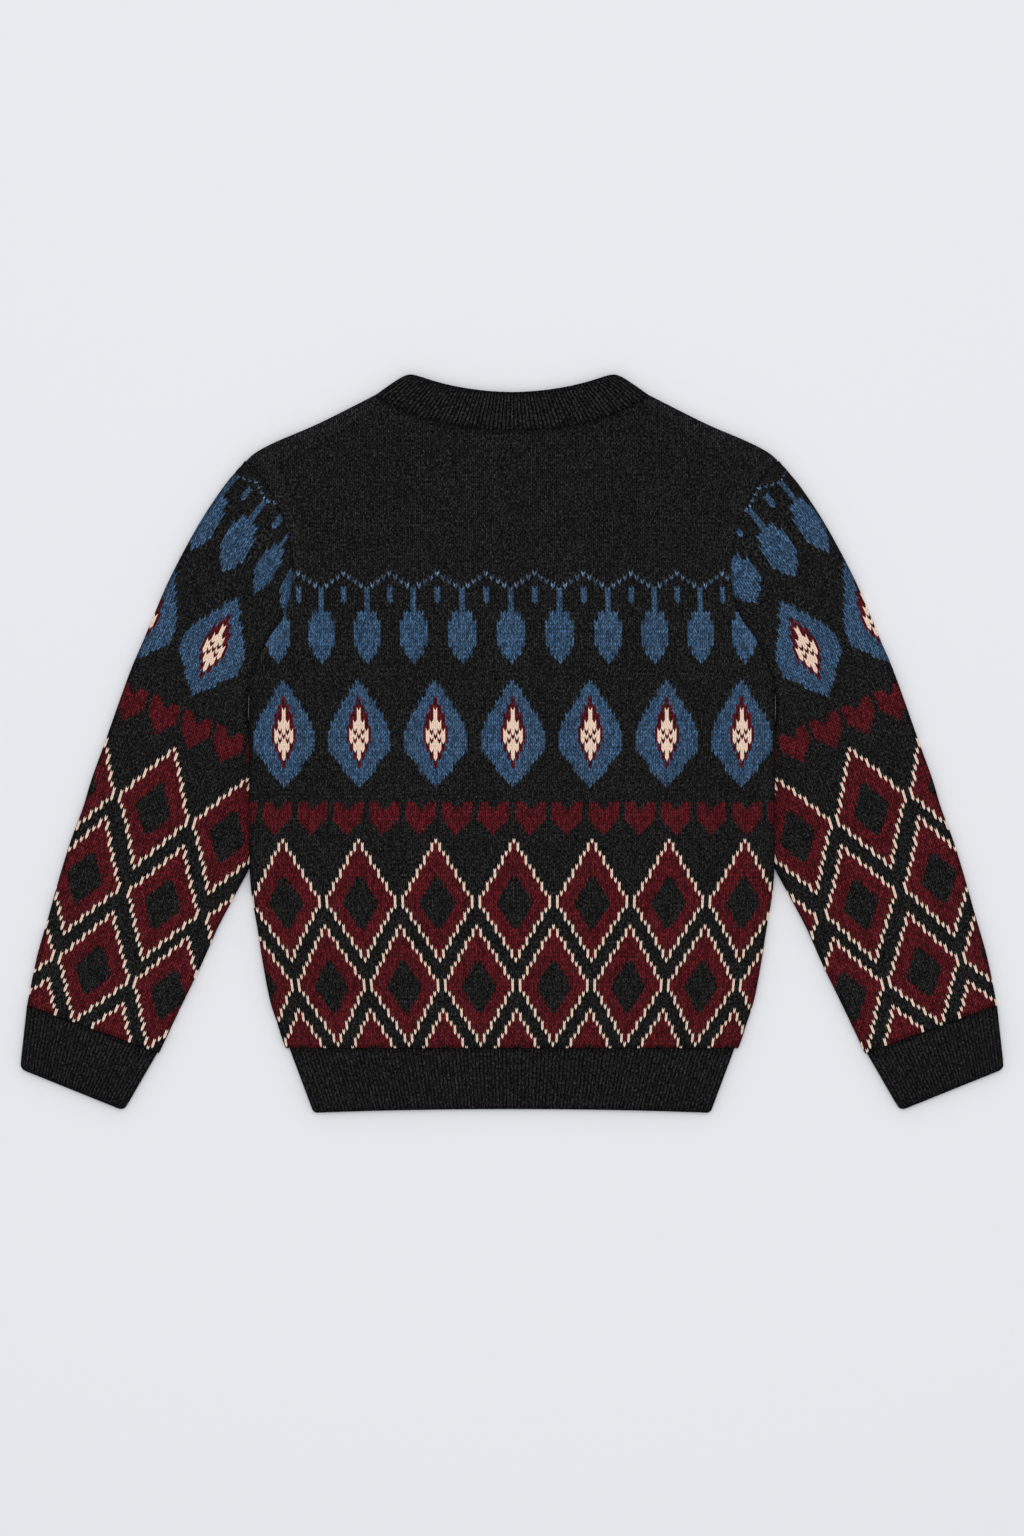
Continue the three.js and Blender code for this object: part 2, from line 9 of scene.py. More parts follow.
import bpy
import numpy as np
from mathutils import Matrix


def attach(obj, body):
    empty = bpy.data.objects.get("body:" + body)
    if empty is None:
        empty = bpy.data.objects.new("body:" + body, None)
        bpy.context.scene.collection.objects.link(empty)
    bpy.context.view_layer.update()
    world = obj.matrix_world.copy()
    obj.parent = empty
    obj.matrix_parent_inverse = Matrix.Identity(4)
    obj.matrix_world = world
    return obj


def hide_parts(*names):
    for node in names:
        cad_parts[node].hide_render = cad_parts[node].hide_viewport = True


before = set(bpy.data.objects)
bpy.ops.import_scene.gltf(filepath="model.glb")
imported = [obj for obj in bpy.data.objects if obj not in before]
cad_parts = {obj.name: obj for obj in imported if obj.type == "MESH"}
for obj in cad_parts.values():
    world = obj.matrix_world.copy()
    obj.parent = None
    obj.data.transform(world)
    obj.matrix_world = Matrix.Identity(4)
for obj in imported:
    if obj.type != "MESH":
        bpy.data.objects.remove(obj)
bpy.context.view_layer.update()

bl_info = {
    "name": "Banded Knit Pullover",
    "version": (1, 0, 0),
    "blender": (4, 5, 0),
    "location": "View3D > Sidebar > Pullover",
    "description": "Builds a child's pullover in banded two-colour knitting, lying flat",
    "category": "Object",
}

MM = 0.001
LENGTH = 554.0  # lower edge of the hem to the top of the neckband

# Wall of cloth
LAYER_GAP = 0.3
FAR_OFF = 99.0  # stands for the distance to an edge or seam that isn't near
SEAM_DIP = 0.7  # how far the face sinks where it is sewn
RIB_SEAM_DIP = 0.4
EDGE_DIP = 2.1  # how far it rounds away along a fold or a free edge
LIP_DIP = 1.2  # the same at the free edge of ribbing
ROUND_STEPS = (0.0, 0.12, 0.42, 0.9, 1.7, 2.6)  # distances in from an edge, over its rounding
FOLD_STEPS = (0.0, 0.1, 0.4, 0.95, 1.75, 2.75)  # the same for the fold of a tube
INSIDE_FOLD = 0.4  # steps of the inside at a fold, as a share of the face's
CALM_EDGE = 0.5  # nearer to a fold or side than this, ribbing lies level
RIB_POINTS = 8  # points across a rib
RIB_ROUNDNESS = 0.6  # the lower, the broader the crests and the narrower the grooves
SMOOTH_ANGLE = 62  # in degrees; edges sharper than this stay crisp

# Hem
HEM_HEIGHT = 48.3
HEM_TOP_HALF = 167.0
HEM_BOTTOM_HALF = 149.0
HEM_ARCH = 2.8  # how far its lower edge rises in the middle
HEM_CORNER = 3.0  # how round its lower corners are
HEM_ROWS = (6, 40, 10)  # the first and last of its even rows, and how many

# Where the body lies over the sleeve: height, and share of the full lift
LIFT = 6.0
LIFT_TABLE = ((156, 0), (170, 0.45), (183, 1), (292, 1), (304, 0.45), (316, 0))
LIFT_FLAT, LIFT_END = 18.0, 44.0  # it is whole this near to the side, and ends this far in

# Side of the body: height, half width. The underarm is at 316 and the shoulder's tip is the last.
SIDE_TABLE = (
    (48.6, 169.8), (50.6, 170.8), (66, 175.8), (84, 181.6), (112, 187), (140, 191.4), (156, 194.2),
    (170, 196), (183, 196.6), (220, 197), (256, 197), (292, 197.2), (304, 197.4), (316, 197.2),
    (338, 191), (356, 182.6), (373, 171), (391, 165.4), (411, 164), (431, 166.8), (450, 173.4),
    (468, 181.6), (482, 191.4), (489.6, 199.4),
)
UNDERARM = 316.0
TIP_Y = 489.6

# Rows of points up a panel, and columns from its side to its middle
PANEL_START = SIDE_TABLE[0][0]
START_STEPS = (0.0, 0.12, 0.42, 0.9, 1.6)  # distances up from the seam with the hem
PANEL_ROWS = (51, 482, 97)  # the first and last of the even rows, and how many
SIDE_STEPS = (*ROUND_STEPS, 5, 9, 14, 18, 22, 26, 30, 35, 40, LIFT_END)
SHOULDER_COLUMNS = 6
NEAR_NECK = (118.0, 113.0, 108.0)
NECK_COLUMNS = 24

# Loft of the back: heights between which it rises and falls, and where its folds begin
LOFT_RISE, LOFT_FALL = (48, 130), (420, 512)
FOLDS_FROM_SIDE, FOLDS_FROM_HEM = (2.0, 16.0), (50, 70)
BODY_TROUGH, SLEEVE_TROUGH = 0.9, 0.8  # the share of the loft that a trough may take up
FOLD_TAPER = (0.35, 0.65)  # a fold's height at its ends, and what it gains to its middle

# Sleeve, course by course from the shoulder to the cuff: the outer fold's place, the inner end's
# place and the row of stitches there. In the cap the inner end is on the armhole.
SLEEVE_TABLE = (
    (200.3, 489.3, 198.9, 488.7, 119.4), (201.5, 488.2, 196.6, 486.3, 119.0),
    (202.6, 486.6, 191.85, 482.0, 118.0), (206.0, 483.0, 182.05, 468.0, 115.0),
    (208.6, 479.8, 173.85, 450.0, 111.2), (214.0, 473.4, 167.25, 431.0, 107.8),
    (222.6, 461.4, 164.45, 411.0, 103.9), (233.0, 445.4, 165.85, 391.0, 99.2),
    (245.4, 423.6, 171.45, 373.0, 92.5), (258.4, 398.0, 183.05, 356.0, 85.6),
    (268.6, 374.4, 191.45, 338.0, 78.0), (277.6, 352.6, 197.65, 316.0, 70.8),
    (283.0, 340.4, 198.2, 300.0, 65.8), (287.0, 330.4, 196.6, 288.0, 62.4),
    (294.8, 309.0, 188.4, 262.0, 54.8), (305.6, 278.2, 184.6, 230.0, 44.8),
    (316.0, 249.4, 188.0, 203.0, 36.5), (322.0, 229.4, 197.4, 183.0, 29.8),
    (331.2, 204.6, 208.6, 162.0, 22.3), (339.0, 179.6, 220.6, 139.4, 14.1),
    (347.6, 149.0, 233.4, 110.6, 4.2), (356.8, 116.6, 247.6, 81.4, -6.3),
    (363.6, 83.2, 263.8, 47.2, -18.1), (364.1, 80.7, 265.0, 44.8, -19.0),
)
CAP_COURSES = 12
CAP_STEP, SLEEVE_STEP = 0.2, 1.0 / 7.0  # rings of points, in courses of the table
SLEEVE_COLUMNS = 30
ROOMY_RING = 9.0  # in courses narrower than this the folds are tighter
SEWN_OUT = 0.05  # how far a seam of the sleeves or neckband stands off the body's

# How far a sleeve's upper layer stands off the lower one: height of the inner end, loft
SLEEVE_LOFT_TABLE = (
    (47, 0), (81, 0.4), (110, 1.1), (139, 1.5), (162, 1.5), (183, 0.6), (300, 0.6), (316, 1.5),
    (356, 1.3), (411, 0.5), (468, 0),
)

# Cuff: outer fold and inner fold at its start and at the hand
CUFF_START = (364.2, 80.42, 266.23, 44.93)
CUFF_END = (369.4, 33.1, 291.3, 1.6)
CUFF_CORNER = 4.0  # how round its corners at the hand are
CUFF_ROWS = (6, 7, 12)  # how far its even rows keep from its ends, and how many

# Neck
NECK_HALF, NECK_TOP = 103.5, 538.4
BACK_NECK = (25.8, 2.4)  # depth of the seam's curve and how flat it runs in the middle
FRONT_NECK_DROP = 76.4
BAND_HALF = 78.0  # half the width of the neckband's free edge
BACK_BAND = (13.0, 1.85)  # depth and flatness of that edge
FRONT_BAND_DROP = 65.0
BAND_FULLNESS = (8.0, 1.3)  # how far from the band's corners its edges bulge most, and how far out
FULL_FROM = 0.35  # how far up the band the bulge is whole, as a share of its height
BAND_LENGTH, BAND_HEIGHT = 240.0, 29.0  # of one half, along its seam and square to it
BAND_ROWS = (5, 24, 8)  # the first and last of its even rows, and how many
CURVE_POINTS = 801  # points of the curves along which its places are measured
SHOULDER_TABLE = (
    (103.5, 538.4), (118, 531), (146.6, 516.8), (184, 500.4), (194, 494.5), (199.4, 489.6),
)
SHOULDER_SLANT = 0.9  # a distance square to the shoulder's line, as a share of the height below it

# The painted light and shade beside the yoke's seams start this far over the underarm, and fade out
# below by this slope
SEAM_START, SEAM_FADE = 24.0, 2.0

# Soft folds of the back, as ridges and troughs: ends of each, width, height
BODY_FOLDS = (
    (-176, 372, -120, 300, 17, 0.9), (172, 380, 126, 312, 16, 0.8),
    (-150, 470, -140, 380, 13, -0.8), (150, 468, 139, 384, 14, -0.8),
    (-92, 516, 92, 516, 9, -0.5), (-60, 470, 40, 452, 24, 0.6),
    (-178, 196, -130, 236, 16, 0.7), (178, 204, 132, 240, 15, 0.7),
    (-120, 112, -40, 96, 18, 0.5), (30, 128, 130, 108, 20, 0.5),
)
# The same of a sleeve
SLEEVE_FOLDS = (
    (206, 300, 252, 330, 9, 0.8), (204, 268, 262, 300, 11, -0.5), (214, 182, 268, 214, 10, 0.8),
    (226, 158, 286, 190, 9, -0.5), (252, 350, 262, 410, 12, 0.5), (272, 92, 330, 118, 11, 0.5),
)

# Figures of the knitting: kind, its row, middle of the first one and the repeat, in stitches.
# The row is the middle one of a diamond or lozenge, and the lowest one of a heart or pendant.
BODY_FIGURES = (
    ("diamond", 35, 1, 20), ("diamond", 15, 11, 20), ("diamond", -5, 1, 20),
    ("heart", 52, 4.99, 9.47), ("lozenge", 76, 0, 20), ("pendant", 95, 0, 12),
)
SLEEVE_FIGURES = (
    ("diamond", 35, 17, 20), ("diamond", 15, 5.7, 21.3), ("diamond", -5, 16, 20),
    ("diamond", -25, 6, 20), ("heart", 52, 2.2, 9), ("lozenge", 76, -2.5, 19.8),
    ("pendant", 94, 0.5, 10),
)
STITCH_WIDTH = 2.91
NARROWER, NARROWER_AT = 0.0174, 172.5  # the part by which they are narrower, so far from the middle
COURSE = 3.075  # height of a row of stitches in ribbing
DRAWN_BELOW, DRAWN_FROM = 183, 196.6  # below this height the body draws in, from this half width
DRAWN_STITCHES = 0.45  # the power by which its stitches follow

# Rows of stitches of the body: height, row
BODY_ROWS = (
    (48.6, 0.4), (87.4, 12.7), (121.6, 23.45), (155.8, 34.5), (183.6, 43.0), (202.6, 48.8),
    (222.0, 56.0), (242.6, 63.3), (259.1, 69.0), (293.6, 79.9), (328.1, 91.1), (362.6, 101.9),
    (385, 108.75), (397.1, 112.95), (535.1, 158.0),
)

# How the body's stitches lie askew: height, how far they stand to the right, and their width
BODY_SKEW = (
    (66, 0.9, 0.99), (89, 0.6, 0.991), (111, 0.1, 0.997), (134, -0.45, 1.003), (156, -0.8, 1.004),
    (179, -1.1, 1.006), (201, -1.5, 1.009), (223, -0.9, 1), (246, 0.6, 0.996), (270, 0.75, 1),
    (300, 0.6, 1), (330, 0, 1), (355, -0.7, 1), (385, -1.0, 1), (404, -1.5, 1),
)

# How far round a sleeve its stitches turn, from row to row
SLEEVE_TURN = {
    "right": (
        (-30, 1.4), (-18, 0.9), (-6, -0.7), (5, -0.6), (15, -0.3), (45, -0.2), (55, -0.7),
        (65, -1.1), (79, -1.5), (86, -2.1), (93, -2.8), (100, -3.2), (106, -3.4), (130, -3.4),
    ),
    "left": (
        (-30, 4.2), (-18, 3.3), (-6, 1.2), (5, 0.7), (15, -0.2), (22, -0.5), (45, -0.3), (55, -0.5),
        (65, -0.1), (72, -0.3), (79, -0.5), (86, -0.8), (93, -0.6), (100, 0), (130, 0.3),
    ),
}
SLEEVE_STITCH_WIDTH = 2.955

# Stitches across the yoke: distance from the middle, stitch
YOKE_STITCHES = ((0, 0), (36.5, 12), (73, 24), (107.8, 36), (142.2, 48), (173.9, 59.5), (201, 70))
YOKE_ROWS = (88, 94)  # rows over which these take over from the even stitches below

# Stitches across the cap, which the puckered cloth draws together: distance from the fold, stitch
CAP_STITCHES = {
    "right": ((0, 0), (8, 3.8), (39.4, 13.8), (55.7, 18.8), (75, 23.8), (86, 27.2), (160, 52)),
    "left": ((0, 0), (40, 13.6), (53, 17.2), (67, 23.8), (86, 30.5), (110, 40), (160, 60)),
}
CAP_ROWS = (88, 94)  # the same in the cap

# Details of the figures and of a stitch, in stitches and rows
DASH_HALF = 0.68  # half the width in stitches of a dash or a pendant's stem
ZIGZAG = (1.0, 0.6, 0.6, 1.0)  # how strongly its stitches show, from the peak down
ZIGZAG_STEP, ZIGZAG_HALF = 1.5, 0.55  # how far apart they stand, and half their width
ZIGZAG_PEAK = 20.5  # height of the peak over the pendants' lowest row
SLIM_STITCH = 0.31  # half the width of the cream outlines' stitches, drawn slim by their floats
V_SLOPE = 0.85  # how many rows a stitch's legs rise from its middle to its side

# Light and dark of yarn, each as its lowest shade and how much it gains. The crest shade is painted
# shade in the gaps between stitches and the seam and fold shade is painted shade along seams and
# folds; the uneven, strand and cloud shades and the flecks vary at random.
CREST_PAINTED_SHADE, UNEVEN_SHADE, STRAND_SHADE = (0.2, 1.25), (0.55, 0.9), (0.45, 1.1)
CLOUD_SHADE, SEAM_FOLD_PAINTED_SHADE, FLECK = (0.85, 0.3), (0.55, 0.45), (0.4, 1.2)
CREAM_SHADE, CREAM_BRIGHTEST = (0.75, 0.4), 1.05
# Painted shade in ribbing, between its stitches and in its grooves, stronger on the neckband
RIB_GAP_PAINTED_SHADE, RIB_FLANK = (0.4, 0.6), (0.35, 0.9)  # the flank runs from a rib's crest to its groove
RIBBING_PAINTED_SHADE, NECKBAND_PAINTED_SHADE = 0.9, 1.4
PAINTED_SHADE_REACH = 5.0  # painted shade darkens yarn this near to a seam or fold

# Beside the yoke's seams the cloth gets painted light over the seam's allowance, up to a groove of
# painted shade
ALLOWANCE_END, ALLOWANCE_PAINTED_LIGHT = (8.0, 11.0), 0.2
GROOVE_AT, GROOVE_HALF, GROOVE_PAINTED_SHADE = 11.5, 2.0, 0.16

# Constants of the shaders
WOOL = {"Roughness": 0.92, "Specular IOR Level": 0.05, "Sheen Roughness": 0.6}
FLOOR_SURFACE = {"Roughness": 0.9, "Specular IOR Level": 0.1}
REVERSE_SHEEN = 0.06
RELIEF_STRENGTH = 0.9
KNIT_DEPTH, FINE_DEPTH = 0.0008, 0.0005  # of the relief, in metres

# Stage, in metres: the floor, the lamp, and the height of what the camera sees at the cloth's level
FLOOR_SIZE, FLOOR_LEVEL = 8.0, -0.0004
LAMP_SIZE, LAMP_PLACE, LAMP_TILT = (2.4, 1.6), (0.0, 0.8, 3.85), -11.7
VIEW_HEIGHT, VIEW_MIDDLE, CLOTH_LEVEL = 1.152, -0.0182, 0.006
LENS, SENSOR = 100.0, 36.0  # in millimetres


# ---------------------------------------------------------------- user settings


class PulloverSizes(bpy.types.PropertyGroup):
    wall: bpy.props.FloatProperty(
        name="Cloth Thickness",
        description="Thickness of the knitting and of the ribbing",
        default=2.6 * MM, min=1.0 * MM, max=3.0 * MM, unit="LENGTH", subtype="DISTANCE",
    )
    rib_height: bpy.props.FloatProperty(
        name="Rib Height",
        description="How far the crest of a rib stands above the groove beside it",
        default=0.7 * MM, min=0.0, max=1.5 * MM, unit="LENGTH", subtype="DISTANCE",
    )
    body_loft: bpy.props.FloatProperty(
        name="Body Loft",
        description="How far the back stands off the front in its middle",
        default=1.6 * MM, min=0.0, max=6.0 * MM, unit="LENGTH", subtype="DISTANCE",
    )
    fold_height: bpy.props.FloatProperty(
        name="Fold Height",
        description="How strongly the soft folds of the cloth show",
        default=1.0, min=0.0, max=2.0, subtype="FACTOR",
    )
    hem_ribs: bpy.props.IntProperty(
        name="Hem Ribs", description="Ribs across each half of the hem", default=112, min=20
    )
    cuff_ribs: bpy.props.IntProperty(
        name="Cuff Ribs", description="Ribs across each layer of a cuff", default=34, min=8
    )
    neck_ribs: bpy.props.IntProperty(
        name="Neck Ribs", description="Ribs across each half of the neckband", default=66, min=12
    )


class PulloverColours(bpy.types.PropertyGroup):
    ground: bpy.props.FloatVectorProperty(
        name="Ground", description="Yarn of the plain ground",
        default=(0.0123, 0.0117, 0.0115), min=0.0, max=1.0, size=3, subtype="COLOR",
    )
    ribbing: bpy.props.FloatVectorProperty(
        name="Ribbing", description="Yarn of the hem, cuffs and neckband",
        default=(0.0101, 0.0096, 0.0098), min=0.0, max=1.0, size=3, subtype="COLOR",
    )
    blue: bpy.props.FloatVectorProperty(
        name="Blue", description="Yarn of the lozenges and pendants",
        default=(0.0435, 0.0865, 0.155), min=0.0, max=1.0, size=3, subtype="COLOR",
    )
    pale_blue: bpy.props.FloatVectorProperty(
        name="Pale Blue", description="Yarn of the zigzag of single stitches",
        default=(0.092, 0.158, 0.245), min=0.0, max=1.0, size=3, subtype="COLOR",
    )
    burgundy: bpy.props.FloatVectorProperty(
        name="Burgundy", description="Yarn of the diamonds and hearts",
        default=(0.086, 0.0092, 0.0122), min=0.0, max=1.0, size=3, subtype="COLOR",
    )
    cream: bpy.props.FloatVectorProperty(
        name="Cream", description="Yarn of the outlines",
        default=(0.98, 0.735, 0.575), min=0.0, max=1.0, size=3, subtype="COLOR",
    )


class PulloverStage(bpy.types.PropertyGroup):
    floor: bpy.props.FloatVectorProperty(
        name="Floor", description="Colour of the surface that it lies on",
        default=(0.80, 0.802, 0.828), min=0.0, max=1.0, size=3, subtype="COLOR",
    )
    softbox: bpy.props.FloatProperty(
        name="Softbox", description="Power of the large soft lamp above",
        default=42.0, min=0.0, unit="POWER",
    )
    fill: bpy.props.FloatProperty(
        name="Fill Light", description="Strength of the even light from all round",
        default=0.79, min=0.0, subtype="FACTOR",
    )


# ---------------------------------------------------------------- small tools


def smoothstep(value, low, high):
    """0 below low and 1 above high, smoothly."""
    share = np.clip((value - low) / (high - low), 0.0, 1.0)
    return share * share * (3.0 - 2.0 * share)


def ranged(share, limits):
    """A number by a share from 0 to 1: its lowest, and what it gains by the share."""
    lowest, gain = limits
    return lowest + gain * share


def smooth_curve(table, column=1):
    """A smooth curve through a column of a table, which never overshoots between its rows."""
    xs = np.array([row[0] for row in table], float)
    ys = np.array([row[column] for row in table], float)
    rise = np.diff(ys) / np.diff(xs)
    slopes = np.empty_like(ys)
    slopes[0], slopes[-1] = rise[0], rise[-1]
    before, after = rise[:-1], rise[1:]
    with np.errstate(divide="ignore", invalid="ignore"):
        mean = 2.0 * before * after / (before + after)
    slopes[1:-1] = np.where(before * after > 0, mean, 0.0)

    def read(x):
        x = np.clip(np.asarray(x, float), xs[0], xs[-1])
        k = np.clip(np.searchsorted(xs, x, side="right") - 1, 0, len(xs) - 2)
        step = xs[k + 1] - xs[k]
        t = (x - xs[k]) / step
        start = (1 + 2 * t) * (1 - t) ** 2 * ys[k] + t * (1 - t) ** 2 * step * slopes[k]
        end = t * t * (3 - 2 * t) * ys[k + 1] + t * t * (t - 1) * step * slopes[k + 1]
        return start + end

    return read


half_width = smooth_curve(SIDE_TABLE)
lift_share = smooth_curve(LIFT_TABLE)
shoulder_line = smooth_curve(SHOULDER_TABLE)
sleeve_loft = smooth_curve(SLEEVE_LOFT_TABLE)


def edge_drop(distance, dip, reach):
    """How far the face rounds away, at a distance in from an edge. Corners are rounded by it too."""
    near = np.clip(1.0 - distance / reach, 0.0, 1.0)
    return dip * (1.0 - np.sqrt(1.0 - near * near))


def soft_folds(x, y, table):
    """Height of the ridges and troughs of a table at a place."""
    height = np.zeros(np.broadcast(x, y).shape)
    for x1, y1, x2, y2, width, size in table:
        along_x, along_y = x2 - x1, y2 - y1
        length = math.hypot(along_x, along_y)
        share = ((x - x1) * along_x + (y - y1) * along_y) / length**2
        held = np.clip(share, 0.0, 1.0)
        away = np.hypot(x - x1 - held * along_x, y - y1 - held * along_y)
        taper = ranged(np.sin(np.pi * held), FOLD_TAPER)
        height += size * taper * np.exp(-((away / width) ** 2))
    return height


def rib_relief(count, height, calm):
    """Height of 1 x 1 ribbing at a count of ribs, round crests with narrow grooves between, and the
    height of its crests alone. Where calm is 0 it lies level."""
    crest = 0.5 + 0.5 * np.cos(2.0 * np.pi * count)
    return height * (np.power(crest, RIB_ROUNDNESS) - 0.5) * calm, 0.5 * height * calm


def quads(a, b, c, d):
    return np.stack([a, b, c, d], axis=-1).reshape(-1, 4)


def wall_faces(corner, joined_from):
    """Faces of a wall of cloth: its outer ones, its inner ones, and a list of those of its rims. The
    corners of the inside are numbered after all those of the face."""
    count = corner.size
    outer = quads(corner[:-1, :-1], corner[:-1, 1:], corner[1:, 1:], corner[1:, :-1])
    inner = quads(corner[:-1, :-1], corner[1:, :-1], corner[1:, 1:], corner[:-1, 1:]) + count
    rims = []
    open_rows = len(corner) - 1 if joined_from is None else min(joined_from, len(corner) - 1)
    if open_rows:
        low, high = corner[:open_rows, 0], corner[1 : open_rows + 1, 0]
        rims.append(quads(low, high, high + count, low + count))
        low, high = corner[:open_rows, -1], corner[1 : open_rows + 1, -1]
        rims.append(quads(low, low + count, high + count, high))
    first, last = corner[0], corner[-1]
    rims.append(quads(first[:-1], first[:-1] + count, first[1:] + count, first[1:]))
    rims.append(quads(last[:-1], last[1:], last[1:] + count, last[:-1] + count))
    return outer, inner, rims


def turned_out(faces, places):
    """The faces, turned round where their grids run so that they would point inwards."""
    a, b, c, d = (places[faces[:, i]] for i in range(4))
    volume = np.einsum("ij,ij->i", a, np.cross(b, c)) + np.einsum("ij,ij->i", a, np.cross(c, d))
    return faces[:, ::-1] if volume.sum() < 0 else faces


def build_wall(name, face, inside, stitches, distances, finishes, joined_from=None):
    """A closed wall of cloth from two grids of points, its face and its inside, with rims along its
    edges. From the row joined_from on, its first and last columns are one, as in a tube. The
    distances are named grids for the finishes to read."""
    rows, columns = face.shape[:2]
    count = rows * columns
    points = np.concatenate([face.reshape(-1, 3), inside.reshape(-1, 3)])
    corner = np.arange(count).reshape(rows, columns)
    own = corner.copy()
    if joined_from is not None:
        own[joined_from:, -1] = own[joined_from:, 0]
    shared = np.concatenate([own.ravel(), own.ravel() + count])
    outer, inner, rims = wall_faces(corner, joined_from)
    every = turned_out(np.concatenate([outer, inner, *rims]), points[shared])
    slots = np.zeros(len(every), int)
    slots[len(outer) : len(outer) + len(inner)] = len(finishes) - 1

    used, vertex = np.unique(shared[every], return_inverse=True)
    coordinates = points[used] * MM
    coordinates[:, 1] -= LENGTH * MM / 2
    mesh = bpy.data.meshes.new(name)
    mesh.from_pydata(coordinates.tolist(), [], vertex.reshape(-1, 4).tolist())
    layer = mesh.uv_layers.new(name="Stitches")
    spots = stitches.reshape(-1, 2)[every % count]
    layer.uv.foreach_set("vector", spots.astype(np.float32).ravel())
    for title, grid in distances.items():
        values = np.tile(np.broadcast_to(grid, (rows, columns)).ravel(), 2)[used]
        attribute = mesh.attributes.new(title, "FLOAT", "POINT")
        attribute.data.foreach_set("value", values.astype(np.float32))
    for finish in finishes:
        mesh.materials.append(finish)
    mesh.polygons.foreach_set("material_index", slots)
    mesh.update()
    piece = bpy.data.objects.new(name, mesh)
    bpy.context.scene.collection.objects.link(piece)
    bpy.ops.object.select_all(action="DESELECT")
    piece.select_set(True)
    bpy.context.view_layer.objects.active = piece
    bpy.ops.object.shade_smooth_by_angle(angle=math.radians(SMOOTH_ANGLE))
    piece.select_set(False)
    return piece


def place_piece(piece, node):
    """Puts a finished sheet of cloth in the place of its solid."""
    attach(piece, "root")
    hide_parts(node)


def mirrored(grid):
    return grid * np.array([-1.0, 1.0, 1.0])


SIDES = (("right", np.asarray), ("left", mirrored))


def grid_of(*parts):
    """A grid of points or of places in stitches, from its parts or what they spread out to."""
    return np.stack(np.broadcast_arrays(*parts), axis=-1).astype(float)


def half_heights(name, wall, dip, relief=0.0, crest=0.0, level=0.0, loft=0.0):
    """Heights of the face and the inside of the front or the back half of a piece. The back half
    lies on the front one, which rests on the crests of its relief."""
    if name == "back":
        inside = level + wall + LAYER_GAP + loft
        return inside + wall - dip + relief, inside
    return level + dip - relief + crest, level + wall


# ---------------------------------------------------------------- finishes


def operation(kind, swapped=False):
    """A way to work with a Value: it adds a Math node of that kind."""

    def work(value, *others):
        operands = (*others, value) if swapped else (value, *others)
        return value.finish.maths(kind, *operands)

    return work


class Value:
    """A number on the way through a finish's nodes. Sums written with it become Math nodes."""

    def __init__(self, finish, socket):
        self.finish, self.socket = finish, socket

    __add__ = operation("ADD")
    __radd__ = operation("ADD", swapped=True)
    __sub__ = operation("SUBTRACT")
    __rsub__ = operation("SUBTRACT", swapped=True)
    __mul__ = operation("MULTIPLY")
    __rmul__ = operation("MULTIPLY", swapped=True)
    __truediv__ = operation("DIVIDE")
    __rtruediv__ = operation("DIVIDE", swapped=True)
    __pow__ = operation("POWER")
    __lt__ = operation("LESS_THAN")
    __gt__ = operation("GREATER_THAN")
    __abs__ = operation("ABSOLUTE")
    __floor__ = operation("FLOOR")


